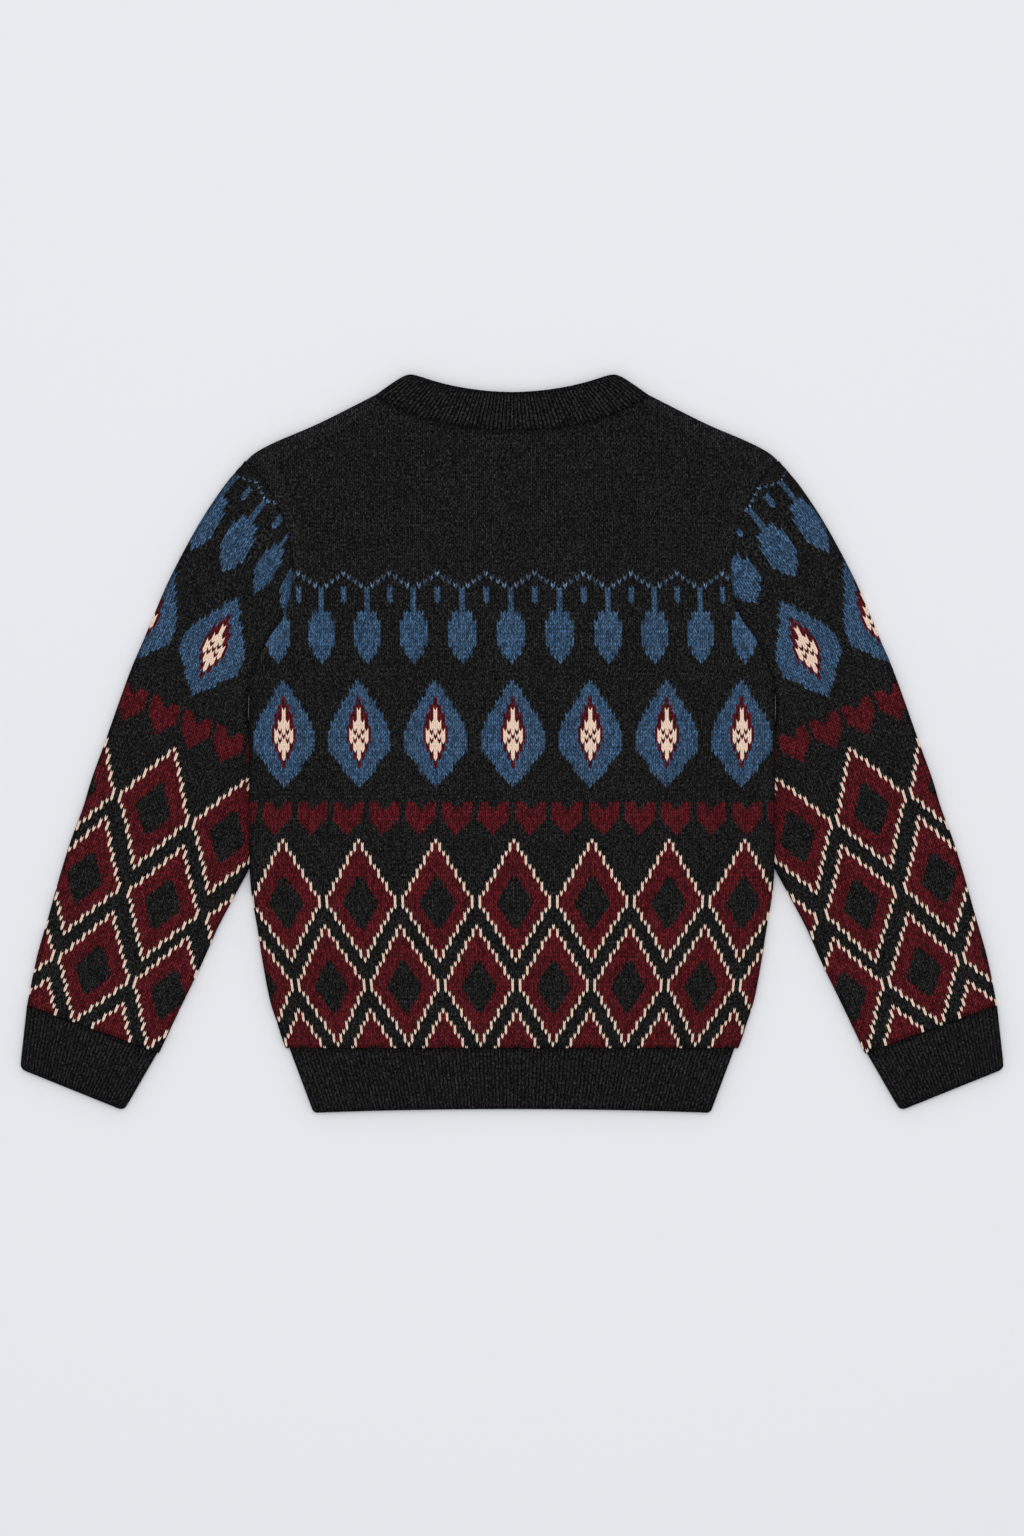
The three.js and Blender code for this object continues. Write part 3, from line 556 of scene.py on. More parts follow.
class Finish:
    """A material and the ways to add nodes to it."""

    def __init__(self, name):
        self.material = bpy.data.materials.new(name)
        self.material.use_nodes = True
        self.tree = self.material.node_tree
        self.tree.nodes.clear()
        output = self.node("ShaderNodeOutputMaterial")
        self.shader = self.node("ShaderNodeBsdfPrincipled")
        self.tree.links.new(self.shader.outputs[0], output.inputs[0])

    def node(self, kind, settings=None, sockets=None):
        """Adds a node. Its settings come first, then the values or links of its sockets."""
        node = self.tree.nodes.new(kind)
        for name, setting in (settings or {}).items():
            setattr(node, name, setting)
        for name, value in (sockets or {}).items():
            self.feed(node.inputs[name], value)
        return node

    def feed(self, socket, value):
        """Links a value to a socket, or sets the socket to a plain number or colour."""
        if isinstance(value, Value):
            value = value.socket
        if isinstance(value, bpy.types.NodeSocket):
            self.tree.links.new(value, socket)
        else:
            socket.default_value = value

    def maths(self, operation, *operands):
        sockets = dict(enumerate(operands))
        node = self.node("ShaderNodeMath", {"operation": operation}, sockets)
        return Value(self, node.outputs[0])

    def least(self, a, b):
        return self.maths("MINIMUM", a, b)

    def most(self, a, b):
        return self.maths("MAXIMUM", a, b)

    def blend(self, factor, first, second, kind="MIX"):
        """Mixes two colours."""
        settings = {"data_type": "RGBA", "blend_type": kind, "clamp_factor": True}
        return self.node("ShaderNodeMix", settings, {0: factor, 6: first, 7: second}).outputs[2]

    def noise(self, vector, scale, detail=2.0, roughness=0.5):
        sockets = {"Vector": vector, "Scale": scale, "Detail": detail, "Roughness": roughness}
        return Value(self, self.node("ShaderNodeTexNoise", None, sockets).outputs["Fac"])

    def stitch_places(self):
        """Place in stitches across and in rows up, from the piece's own map."""
        node = self.node("ShaderNodeUVMap", {"uv_map": "Stitches"})
        split = self.node("ShaderNodeSeparateXYZ", None, {0: node.outputs[0]})
        return Value(self, split.outputs[0]), Value(self, split.outputs[1])

    def distance(self, title):
        """One of the piece's grids of distances, in millimetres."""
        node = self.node("ShaderNodeAttribute", {"attribute_name": title})
        return Value(self, node.outputs["Fac"])

    def vector(self, x, y, z=0.0):
        return self.node("ShaderNodeCombineXYZ", None, {0: x, 1: y, 2: z}).outputs[0]

    def chance(self, x, y):
        """A random number from 0 to 1 for each stitch."""
        node = self.node("ShaderNodeTexWhiteNoise", None, {"Vector": self.vector(x, y)})
        return Value(self, node.outputs["Value"])

    def soften(self, value, low, high):
        """0 below low and 1 above high, smoothly."""
        settings = {"interpolation_type": "SMOOTHSTEP"}
        sockets = {0: value, 1: low, 2: high, 3: 0.0, 4: 1.0}
        return Value(self, self.node("ShaderNodeMapRange", settings, sockets).outputs[0])

    def flecked(self, colour, strand):
        """A colour of yarn, lighter and darker from strand to strand."""
        fleck = ranged(strand, FLECK)
        return self.vector(*(part * fleck for part in colour))

    def shaded(self, colour, shade):
        """A colour made lighter or darker by a number."""
        return self.blend(1.0, colour, self.vector(shade, shade, shade), "MULTIPLY")

    def set_constants(self, constants):
        """Sets sockets of the shader that are the same all over."""
        for name, value in constants.items():
            self.shader.inputs[name].default_value = value

    def finish_as_yarn(self, colour, height, depth, sheen=0.0):
        """Links a colour and a relief to the shader, and gives it the look of matt wool."""
        sockets = {"Strength": RELIEF_STRENGTH, "Distance": depth, "Height": height}
        bump = self.node("ShaderNodeBump", None, sockets)
        self.feed(self.shader.inputs["Base Color"], colour)
        self.feed(self.shader.inputs["Normal"], bump.outputs[0])
        self.set_constants({**WOOL, "Sheen Weight": sheen})
        return self.material


def is_one_of(value, low, high):
    """1 where a whole number is from low to high."""
    return (value > low - 0.5) * (value < high + 0.5)


def nearest_figure(column, across, first, repeat):
    """Distances from the nearest figure of a row: from its middle stitch, in whole stitches and in
    parts, and from its exact middle in parts."""
    number = math.floor((column - first) / repeat + 0.5)
    exact = number * repeat + first
    middle = math.floor(exact + 0.5)
    return abs(column - middle), abs(across - middle), abs(across - exact)


# The numbers of the figures below count stitches across, and rows up from the figure's own row


def narrowing(up, top, slope):
    """Half the width of a shape that narrows to nothing at its top, by so many stitches a row."""
    return (top - up) * slope


def widening(up, foot, slope):
    """The same of a shape that widens from nothing at its foot."""
    return (up - foot) * slope


def diamond(finish, row, near, near_part, exact, middle):
    """A burgundy diamond with a cream outline and a dark core."""
    up = abs(row - middle)
    edge = math.floor(narrowing(up, 14.75, 0.6667))
    from_core = abs(row - middle + 0.5)
    core = (near_part < narrowing(from_core, 7.0, 0.7)) * (from_core < 6.0)
    inside = (near < edge - 0.5) * (up < 14.5)
    outline = (abs(near - edge) < 0.5) * (up < 14.5)
    return {"burgundy": inside * (1.0 - core), "outline": outline}


def heart(finish, row, near, near_part, exact, lowest):
    """A burgundy heart, with a notch between its two lobes."""
    up = row - lowest
    sides = exact < finish.least(widening(up, -1.6, 0.85), 3.9)
    notch = exact > widening(up, 5.2, 0.85)
    return {"burgundy": sides * notch * is_one_of(up, -1, 7)}


def lozenge(finish, row, near, near_part, exact, middle):
    """A blue lozenge with a burgundy spindle in it, and cream stitches round five dots."""
    up = row - middle
    away = abs(up)
    above = up > -0.5
    below = 1.0 - above
    edge = above * narrowing(up, 14.1, 0.66) + below * narrowing(away, 12.6, 0.87)
    blue = (near < edge) * (near_part < 8.2) * (up > -12.5) * (up < 13.5)
    spindle_edge = above * narrowing(up, 9.9, 0.43) + below * narrowing(away, 7.5, 0.5)
    spindle = (near < spindle_edge) * (near_part < 3.2) * is_one_of(up, -7, 9)
    light = (near < (away < 3.5) + (away < 1.5) + 0.5) * is_one_of(up, -5, 6)
    dots = (abs(near - away) < 0.5) * (away < 1.5)
    cream = light * (1.0 - dots)
    return {"blue": blue * (1.0 - spindle), "burgundy": spindle * (1.0 - cream), "cream": cream}


def pendant(finish, row, near, near_part, exact, lowest):
    """A blue pendant on a stem."""
    up = row - lowest
    sides = near < finish.least(widening(up, -1.0, 0.8), 3.0) - (up > 8.5) + 0.5
    drop = sides * is_one_of(up, -1, 10)
    stem = (near_part < DASH_HALF) * is_one_of(up, 11, 16)
    return {"blue": finish.most(drop, stem)}


def zigzag(finish, row, up, near_part, lowest):
    """A dash midway between two pendants, with a zigzag of single stitches over it."""
    dash = (near_part < DASH_HALF) * is_one_of(row - lowest, 13, 16)
    singles = 0.0
    for number, strength in enumerate(ZIGZAG):
        aside = abs(near_part - ZIGZAG_STEP * number)
        level = up - V_SLOPE * (2.0 * aside - 0.5) - (lowest + ZIGZAG_PEAK - number)
        singles = finish.most(singles, (aside < ZIGZAG_HALF) * (abs(level) < 0.5) * strength)
    return {"blue": dash, "pale_blue": singles}


FIGURE_MAKERS = {"diamond": diamond, "heart": heart, "lozenge": lozenge, "pendant": pendant}


def stitch_relief(finish, across, up):
    """Column and row of the stitch at a place, its relief, and which of its legs is there."""
    shifted = across + 0.5
    column = math.floor(shifted)
    aside = 2.0 * abs(shifted - column - 0.5)
    level = up - V_SLOPE * (aside - 0.5)
    row = math.floor(level)
    over = 2.0 * (level - row) - 1.0
    leg = 2.0 * aside - 1.0
    relief = (1.0 - over * over) * (1.0 - leg * leg)
    return column, row, finish.most(relief, 0.0) ** 0.5, math.floor(2.0 * shifted)


def yarn_shade(finish, across, up, relief, chance):
    """Light and dark of yarn, and its strands alone: painted shade in the gaps between the crests of
    stitches, uneven stitches and fine strands at random, and painted shade along seams and folds."""
    fibres = finish.noise(finish.vector(across * 2.2, up * 1.7), 1.0, 3.0, 0.6)
    strand = finish.soften(fibres, 0.35, 0.65)
    cloud = finish.noise(finish.vector(across * 0.05, up * 0.05), 1.0)
    # Painted shade in the gaps between stitches, from their relief; uneven stitches and strands vary
    # at random
    shade = ranged(relief, CREST_PAINTED_SHADE) * ranged(chance, UNEVEN_SHADE)
    shade = shade * ranged(strand, STRAND_SHADE)
    # Painted shade along seams and folds, where the cloth sinks or rounds away
    edge = finish.soften(finish.distance("From edge"), 0.0, PAINTED_SHADE_REACH)
    return shade * ranged(cloud, CLOUD_SHADE) * ranged(edge, SEAM_FOLD_PAINTED_SHADE), strand


def patterned_knit(name, figures, colours):
    """Two-colour knitting with its figures in bands."""
    finish = Finish(name)
    across, up = finish.stitch_places()
    column, row, relief, leg = stitch_relief(finish, across, up)
    masks = {}

    def add(found):
        for yarn, mask in found.items():
            masks[yarn] = finish.most(masks[yarn], mask) if yarn in masks else mask

    for kind, middle, first, repeat in figures:
        places = nearest_figure(column, across, first, repeat)
        add(FIGURE_MAKERS[kind](finish, row, *places, middle))
        if kind == "pendant":
            _, between, _ = nearest_figure(column, across, first + repeat / 2, repeat)
            add(zigzag(finish, row, up, between, middle))

    slim = abs(across - column) < SLIM_STITCH
    cream = finish.most(masks["cream"], masks["outline"] * slim)
    masks["cream"] = cream
    shade, strand = yarn_shade(finish, across, up, relief, finish.chance(leg, row))
    seam = finish.distance("From yoke seam")
    # Painted light over the allowance of the yoke's seams, and painted shade in a groove at its edge
    allowance_light = 1.0 - finish.soften(seam, *ALLOWANCE_END)
    groove_line_shade = 1.0 - finish.soften(abs(seam - GROOVE_AT), 0.0, GROOVE_HALF)
    shade = shade * (1.0 + ALLOWANCE_PAINTED_LIGHT * allowance_light - GROOVE_PAINTED_SHADE * groove_line_shade)
    colour = finish.flecked(colours.ground, strand)
    for yarn in ("blue", "pale_blue", "burgundy", "cream"):
        colour = finish.blend(masks[yarn], colour, (*getattr(colours, yarn), 1.0))
    # Cream stitches take a brighter, flatter version of the same painted shade and random tone
    light = finish.least(ranged(shade, CREAM_SHADE), CREAM_BRIGHTEST)
    colour = finish.shaded(colour, shade * (1.0 - cream) + light * cream)
    return finish.finish_as_yarn(colour, relief + 0.5 * strand, KNIT_DEPTH)


def knit_reverse(name, colours):
    """The wrong side of the knitting: short bars of yarn, in all its colours."""
    finish = Finish(name)
    across, up = finish.stitch_places()
    column, row = math.floor(across * 0.5), math.floor(up * 2.0)
    chance = finish.chance(column, row)
    over = 2.0 * (up * 2.0 - row) - 1.0
    relief = 1.0 - over * over
    colour = finish.blend(chance > 0.8, (*colours.ground, 1.0), (*colours.blue, 1.0))
    colour = finish.blend(chance > 0.9, colour, (*colours.burgundy, 1.0))
    return finish.finish_as_yarn(colour, relief, FINE_DEPTH, REVERSE_SHEEN)


def ribbed_knit(name, colours, ribbing_shade):
    """Plain 1 x 1 ribbing: its columns of stitches stand on the crests, and its grooves get painted
    shade.
    """
    finish = Finish(name)
    across, up = finish.stitch_places()
    column, row, relief, leg = stitch_relief(finish, across, up)
    aside = abs(2.0 * (across + 0.5 - column) - 1.0)
    crest = 1.0 - finish.soften(aside, *RIB_FLANK)
    # Painted shade in the gaps between stitches, gentler in ribbing
    gentle_gap_shade = ranged(relief, RIB_GAP_PAINTED_SHADE)
    shade, strand = yarn_shade(finish, across, up, gentle_gap_shade, finish.chance(leg, row))
    # Painted shade in the grooves between the crests
    shade = shade * (1.0 + ribbing_shade * (crest - 0.6))
    colour = finish.shaded(finish.flecked(colours.ribbing, strand), shade)
    return finish.finish_as_yarn(colour, relief * crest + 0.4 * strand, FINE_DEPTH)


def ensure_finish(name, maker, *settings):
    """The finish of that name, made the first time it is wanted."""
    found = bpy.data.materials.get(name)
    return found or maker(name, *settings)


def knit_finishes(name, figures, colours):
    """The finishes of a piece's face and of its inside."""
    return [
        ensure_finish(name, patterned_knit, figures, colours),
        ensure_finish("Knit reverse", knit_reverse, colours),
    ]


# ---------------------------------------------------------------- body panels


def back_neck_line(share):
    return NECK_TOP - BACK_NECK[0] * (1.0 - np.abs(share) ** BACK_NECK[1])


def front_neck_line(share):
    return NECK_TOP - FRONT_NECK_DROP * np.sqrt(np.clip(1.0 - share * share, 0.0, 1.0))


def panel_columns(half):
    """Places across a panel at each of its rows, closer together along the sides."""
    near_side = half[:, None] - np.array(SIDE_STEPS, float)
    start = near_side[:, -1:]
    shares = np.arange(1, SHOULDER_COLUMNS + 1) / (SHOULDER_COLUMNS + 1)
    shoulder = start + (NEAR_NECK[0] - start) * shares
    middle = np.tile([*NEAR_NECK, *np.linspace(NECK_HALF, 0.0, NECK_COLUMNS)], (len(half), 1))
    right = np.concatenate([near_side, shoulder, middle], axis=1)
    return np.concatenate([-right[:, :-1], right[:, ::-1]], axis=1)


def panel_places(neck_line):
    """Grid of places on a panel, with the row's height, distances to its side and its top, and the
    distances for its finish: the seams of the yoke are counted apart from its other edges."""
    lower = np.concatenate([PANEL_START + np.array(START_STEPS), np.linspace(*PANEL_ROWS)])
    above = np.array(ROUND_STEPS[::-1])
    row_y = np.concatenate([lower, np.full(len(above), TIP_Y)])
    under = np.concatenate([np.full(len(lower), FAR_OFF), above])[:, None]
    is_top = under < FAR_OFF
    half = half_width(np.where(is_top[:, 0], TIP_Y - under[:, 0], row_y))
    x = panel_columns(half)
    top_x = np.abs(x[-1])
    top = np.where(top_x >= NECK_HALF, shoulder_line(top_x), neck_line(top_x / NECK_HALF))
    rise = (top - TIP_Y)[None, :]
    y = row_y[:, None] + rise * smoothstep(row_y, UNDERARM, TIP_Y)[:, None]
    y = np.where(is_top, TIP_Y + rise - under, y)
    from_side = half[:, None] - np.abs(x)
    rows = np.repeat(row_y[:, None], x.shape[1], axis=1)
    past_neck = np.maximum(np.abs(x) - NECK_HALF, 0.0)
    over_underarm = np.maximum(rows - UNDERARM, 0.0)
    from_edge = np.minimum(from_side + over_underarm, rows - PANEL_START)
    past_underarm = np.maximum(UNDERARM + SEAM_START - rows, 0.0)
    in_neck = np.maximum(NECK_HALF - np.abs(x), 0.0)
    beside_armhole = from_side + SEAM_FADE * past_underarm
    under_shoulder = (top - y) * SHOULDER_SLANT + SEAM_FADE * in_neck
    # From edge places the painted shade along seams and folds; From yoke seam places the painted
    # light and shade beside the yoke's seams
    distances = {
        "From edge": np.minimum(from_edge, top - y + past_neck),
        "From yoke seam": np.minimum(beside_armhole, under_shoulder),
    }
    return x, y, rows, from_side, under, distances


def panel_dip(x, row_y, from_side, under, wall):
    """How far a panel's face sinks at its seams and rounds away along its folds."""
    side_dip = np.where(row_y >= UNDERARM, SEAM_DIP, EDGE_DIP)
    top_dip = np.where(np.abs(x) < NECK_HALF, SEAM_DIP, EDGE_DIP)
    side = edge_drop(from_side, side_dip, wall)
    top = edge_drop(np.broadcast_to(under, x.shape), top_dip, wall)
    bottom = edge_drop(row_y - PANEL_START, SEAM_DIP, wall)
    return np.maximum(np.maximum(side, top), bottom)


def back_loft(x, y, row_y, from_side, sizes):
    """How far the back stands off the front: a low swell with the soft folds on it."""
    middle = np.clip(1.0 - (x / half_width(row_y)) ** 2, 0.0, 1.0)
    risen = smoothstep(y, *LOFT_RISE) * (1.0 - smoothstep(y, *LOFT_FALL))
    loft = sizes.body_loft / MM * middle * risen
    calm = smoothstep(from_side, *FOLDS_FROM_SIDE) * smoothstep(y, *FOLDS_FROM_HEM)
    folds = soft_folds(x, y, BODY_FOLDS) * calm * sizes.fold_height
    return loft + np.maximum(folds, -BODY_TROUGH * loft)


def body_stitches(x, y, row_y):
    """The place in stitches. They are narrower at the sides and where the body draws in."""
    drawn = (half_width(row_y) / DRAWN_FROM) ** DRAWN_STITCHES
    drawn_in = np.where(row_y < DRAWN_BELOW, drawn, 1.0)
    width = STITCH_WIDTH * drawn_in * smooth_curve(BODY_SKEW, 2)(y)
    aside = x - smooth_curve(BODY_SKEW)(y)
    across = aside / width * (1.0 + NARROWER * (x / NARROWER_AT) ** 2)
    up = smooth_curve(BODY_ROWS)(y)
    in_yoke = smoothstep(up, *YOKE_ROWS)
    yoke = np.sign(aside) * smooth_curve(YOKE_STITCHES)(np.abs(aside))
    return grid_of(across * (1.0 - in_yoke) + yoke * in_yoke, up)


class BodyPanels(bpy.types.Operator):
    """Build the back and the front of the body"""

    bl_idname = "pullover.body_panels"
    bl_label = "Body Panels"

    def execute(self, context):
        sizes, colours = context.scene.pullover_sizes, context.scene.pullover_colours
        wall = sizes.wall / MM
        finishes = knit_finishes("Body knit", BODY_FIGURES, colours)
        panels = (("front", front_neck_line, 0.168), ("back", back_neck_line, 0.176))
        for name, neck_line, area in panels:
            x, y, row_y, from_side, under, distances = panel_places(neck_line)
            over_sleeve = 1.0 - smoothstep(half_width(row_y) - np.abs(x), LIFT_FLAT, LIFT_END)
            level = LIFT * over_sleeve * lift_share(row_y)
            dip = panel_dip(x, row_y, from_side, under, wall)
            loft = back_loft(x, y, row_y, from_side, sizes)
            face, inside = half_heights(name, wall, dip, level=level, loft=loft)
            piece = build_wall(
                f"{name}_panel_knit", grid_of(x, y, face), grid_of(x, y, inside),
                body_stitches(x, y, row_y), distances, finishes,
            )
            place_piece(piece, f"{name}_panel")
        return {"FINISHED"}


# ---------------------------------------------------------------- sleeves and cuffs


def ring_width(ends):
    """Width of a flat tube at each row of its ends, the places of its outer and inner fold."""
    return np.hypot(*(ends[:, :2] - ends[:, 2:]).T)[:, None]


def fold_to_fold(near, far, length, steps):
    """Places across a flat tube: steps in from both of its sides, and even ones between."""
    start, end = near[..., -1:], far[..., -1:]
    even = start + (length - end - start) * (np.arange(1, steps) / steps)
    return np.concatenate([near, even, length - far[..., ::-1]], axis=-1)


def there_and_back(out, back):
    """A ring that runs out along the columns of one grid and back along those of another."""
    return np.concatenate([out, back[:, -2::-1]], axis=1)


def flat_ring(ends, is_open, wall, steps, dip, rib=(0, 0.0), loft=0.0, folds=(), fold_height=1.0):
    """Rings of a tube that lies flat, one for each row of ends. Each starts at the inner side, runs
    out along the layer that rests, round the outer fold and back along the upper layer. The rib is
    the number of ribs across and their height."""
    ribs, rib_height = rib
    fold_x, fold_y, inner_x, inner_y = ends.T[..., None]
    width = ring_width(ends)
    near, radius = np.array(FOLD_STEPS), FOLD_STEPS[-1]
    inside_near = wall + INSIDE_FOLD * near
    tight = np.minimum(1.0, width / ROOMY_RING)
    open_rows = is_open[:, None]
    distance = fold_to_fold(near * tight, near * tight, width, steps)
    inside_start = np.where(open_rows, near, inside_near) * tight
    inside_distance = fold_to_fold(inside_start, inside_near * tight, width, steps)

    fold_dip = edge_drop(near, radius, radius)
    open_dip = SEAM_DIP * np.clip(1.0 - near, 0.0, 1.0)
    start_dip = np.where(open_rows, open_dip, fold_dip)
    end_dip = np.tile(fold_dip[::-1], (len(ends), 1))
    fold_dips = np.concatenate([start_dip, np.zeros((len(ends), steps - 1)), end_dip], axis=1)
    at_fold = np.zeros(distance.shape, bool)
    at_fold[:, -1] = True
    at_fold[:, 0] = ~is_open
    dip = np.where(at_fold, fold_dips, np.maximum(fold_dips, dip[:, None]))

    def places(along):
        share = along / width
        return inner_x + (fold_x - inner_x) * share, inner_y + (fold_y - inner_y) * share

    x, y = places(distance)
    swell = np.sin(np.pi * np.clip(distance / width, 0.0, 1.0)) ** 2
    ridges = soft_folds(x, y, folds) * swell * fold_height
    loft = loft * swell
    top = 2 * wall + LAYER_GAP + loft + np.maximum(ridges, -SLEEVE_TROUGH * loft)
    count = np.clip((distance - radius) / (width - 2 * radius), 0.0, 1.0) * ribs
    calm = smoothstep(distance, CALM_EDGE, radius) * smoothstep(width - distance, CALM_EDGE, radius)
    relief, crest = rib_relief(count, rib_height, calm)
    resting = np.minimum(dip - (relief - crest), radius)
    layers = []
    for face_z, inside_z in ((resting, wall), (top - dip + relief, top - wall)):
        face = grid_of(x, y, np.where(at_fold, radius, face_z))
        inside = grid_of(*places(inside_distance), np.where(at_fold, radius, inside_z))
        layers.append((face, inside))
    face, inside = (there_and_back(*pair) for pair in zip(*layers))
    return face, inside, there_and_back(distance - width, width - distance)


def sleeve_rings():
    """Ends of the rings of a sleeve, closer together than the table's courses, with their rows of
    stitches, and which of them are open at the armhole."""
    table = [(index, *row) for index, row in enumerate(SLEEVE_TABLE)]
    cap = np.arange(0, CAP_COURSES - 1, CAP_STEP)
    rest = np.arange(CAP_COURSES - 1, len(SLEEVE_TABLE) - 1 + 1e-6, SLEEVE_STEP)
    places = np.concatenate([cap, rest])
    fold_x, fold_y, inner_x, inner_y, row = (smooth_curve(table, k)(places) for k in range(1, 6))
    is_cap = places <= CAP_COURSES - 1
    inner_x = np.where(is_cap, half_width(inner_y) + SEWN_OUT, inner_x)
    ends = np.stack([fold_x, fold_y, inner_x, inner_y], axis=1)
    return ends, row, is_cap & (inner_y > UNDERARM)


def sleeve_stitches(side, row, from_fold):
    """The place in stitches. They are uneven in the cap, and turn round the sleeve row by row."""
    up = row[:, None]
    away = np.abs(from_fold)
    in_cap = smoothstep(up, *CAP_ROWS)
    even = away / SLEEVE_STITCH_WIDTH
    count = even * (1.0 - in_cap) + smooth_curve(CAP_STITCHES[side])(away) * in_cap
    return grid_of(np.copysign(count, from_fold) + smooth_curve(SLEEVE_TURN[side])(up), up)


class Sleeves(bpy.types.Operator):
    """Build the two sleeves"""

    bl_idname = "pullover.sleeves"
    bl_label = "Sleeves"

    def execute(self, context):
        sizes, colours = context.scene.pullover_sizes, context.scene.pullover_colours
        wall = sizes.wall / MM
        finishes = knit_finishes("Sleeve knit", SLEEVE_FIGURES, colours)
        ends, row, is_open = sleeve_rings()
        from_end = np.hypot(*(ends[:, 2:4] - ends[-1, 2:4]).T)
        face, inside, from_fold = flat_ring(
            ends, is_open, wall, SLEEVE_COLUMNS, edge_drop(from_end, SEAM_DIP, wall),
            loft=sleeve_loft(ends[:, 3])[:, None], folds=SLEEVE_FOLDS, fold_height=sizes.fold_height,
        )
        away = np.abs(from_fold)
        from_edge = np.minimum(np.minimum(away, ring_width(ends) - away), from_end[:, None])
        distances = {"From edge": from_edge, "From yoke seam": np.full_like(away, FAR_OFF)}
        joined = int(np.argmin(is_open))
        for side, turn in SIDES:
            piece = build_wall(
                f"sleeve_{side}_knit", turn(face), turn(inside),
                sleeve_stitches(side, row, from_fold), distances, finishes, joined,
            )
            place_piece(piece, f"sleeve_{side}")
        return {"FINISHED"}


def rows_between(even, length):
    """Places up a piece of ribbing: even rows, and closer ones along both of its edges."""
    near = np.array(ROUND_STEPS)
    return np.concatenate([near, even, length - near[::-1]])


def rib_dip(from_seam, from_lip, wall):
    """How far the face of ribbing sinks at its seam and rounds away at its free edge."""
    return np.maximum(
        edge_drop(from_seam, RIB_SEAM_DIP, wall), edge_drop(from_lip, LIP_DIP, wall)
    )


class Cuffs(bpy.types.Operator):
    """Build the two ribbed cuffs"""

    bl_idname = "pullover.cuffs"
    bl_label = "Cuffs"

    def execute(self, context):
        sizes, colours = context.scene.pullover_sizes, context.scene.pullover_colours
        wall, rib_height = sizes.wall / MM, sizes.rib_height / MM
        finishes = [ensure_finish("Ribbing", ribbed_knit, colours, RIBBING_PAINTED_SHADE)]
        start, end = np.array(CUFF_START), np.array(CUFF_END)
        length = math.hypot(*(end[2:] - start[2:]))
        from_start, from_hand, number = CUFF_ROWS
        away = rows_between(np.linspace(from_start, length - from_hand, number), length)
        left = length - away
        ends = start + (end - start) * (away / length)[:, None]
        inset = edge_drop(left, CUFF_CORNER, CUFF_CORNER)
        across = end[:2] - end[2:]
        across = across / np.hypot(*across)
        ends += inset[:, None] * np.concatenate([-across, across])
        face, inside, from_fold = flat_ring(
            ends, np.zeros(len(ends), bool), wall, RIB_POINTS * sizes.cuff_ribs,
            rib_dip(away, left, wall), rib=(sizes.cuff_ribs, rib_height),
        )
        width = ring_width(ends)
        from_fold = np.abs(from_fold)
        pitch = (width - 2 * FOLD_STEPS[-1]) / sizes.cuff_ribs
        count = (width - FOLD_STEPS[-1] - from_fold) / pitch
        stitches = grid_of(count, (left / COURSE)[:, None])
        from_side = np.minimum(from_fold, width - from_fold)
        distances = {"From edge": np.minimum(from_side, np.minimum(away, left)[:, None])}
        for side, turn in SIDES:
            piece = build_wall(
                f"cuff_{side}_rib", turn(face), turn(inside), stitches, distances, finishes, 0
            )
            place_piece(piece, f"cuff_{side}")
        return {"FINISHED"}


# ---------------------------------------------------------------- hem and neckband


class Hem(bpy.types.Operator):
    """Build the ribbed hem in its two halves"""

    bl_idname = "pullover.hem"
    bl_label = "Hem"

    def execute(self, context):
        sizes, colours = context.scene.pullover_sizes, context.scene.pullover_colours
        wall, rib_height = sizes.wall / MM, sizes.rib_height / MM
        finishes = [ensure_finish("Ribbing", ribbed_knit, colours, RIBBING_PAINTED_SHADE)]
        edge = 1.0 - np.array(ROUND_STEPS) / HEM_TOP_HALF
        ribs = np.arange(1, RIB_POINTS * sizes.hem_ribs) / RIB_POINTS
        middle = edge[-1] * (1.0 - 2.0 * ribs / sizes.hem_ribs)
        across = np.concatenate([edge, middle, -edge[::-1]])[::-1]
        count = (1.0 - across / edge[-1]) * sizes.hem_ribs / 2.0
        from_side = (1.0 - np.abs(across)) * HEM_TOP_HALF
        bottom = HEM_ARCH * (1.0 - across**2) + edge_drop(from_side, HEM_CORNER, HEM_CORNER)
        away = rows_between(np.linspace(*HEM_ROWS), HEM_HEIGHT)
        y = bottom + (HEM_HEIGHT - bottom) * (away / HEM_HEIGHT)[:, None]
        x = across * (HEM_BOTTOM_HALF + (HEM_TOP_HALF - HEM_BOTTOM_HALF) * y / HEM_HEIGHT)
        side_dip = edge_drop(from_side, EDGE_DIP, wall)[None, :]
        dip = np.maximum(rib_dip(HEM_HEIGHT - away, away, wall)[:, None], side_dip)
        calm = smoothstep(from_side, CALM_EDGE, ROUND_STEPS[-1])[None, :]
        relief, crest = rib_relief(count[None, :], rib_height, calm)
        stitches = grid_of(count[None, :], y / COURSE)
        from_end = np.minimum(away, HEM_HEIGHT - away)[:, None]
        distances = {"From edge": np.minimum(from_side[None, :], from_end)}
        for name in ("front", "back"):
            face, inside = half_heights(name, wall, dip, relief, crest)
            piece = build_wall(
                f"hem_{name}_rib", grid_of(x, y, face), grid_of(x, y, inside), stitches,
                distances, finishes,
            )
            place_piece(piece, f"hem_{name}")
        return {"FINISHED"}


def along_line(line, shares):
    """Places at shares of the length of a line of points."""
    steps = np.hypot(*np.diff(line, axis=0).T)
    at = np.concatenate([[0.0], np.cumsum(steps)]) / steps.sum()
    return np.stack([np.interp(shares, at, line[:, 0]), np.interp(shares, at, line[:, 1])], axis=-1)


def back_band_line(share):
    return LENGTH - BACK_BAND[0] * (1.0 - np.abs(share) ** BACK_BAND[1])


def front_band_line(share):
    return LENGTH - FRONT_BAND_DROP * np.sqrt(1.0 - share * share)


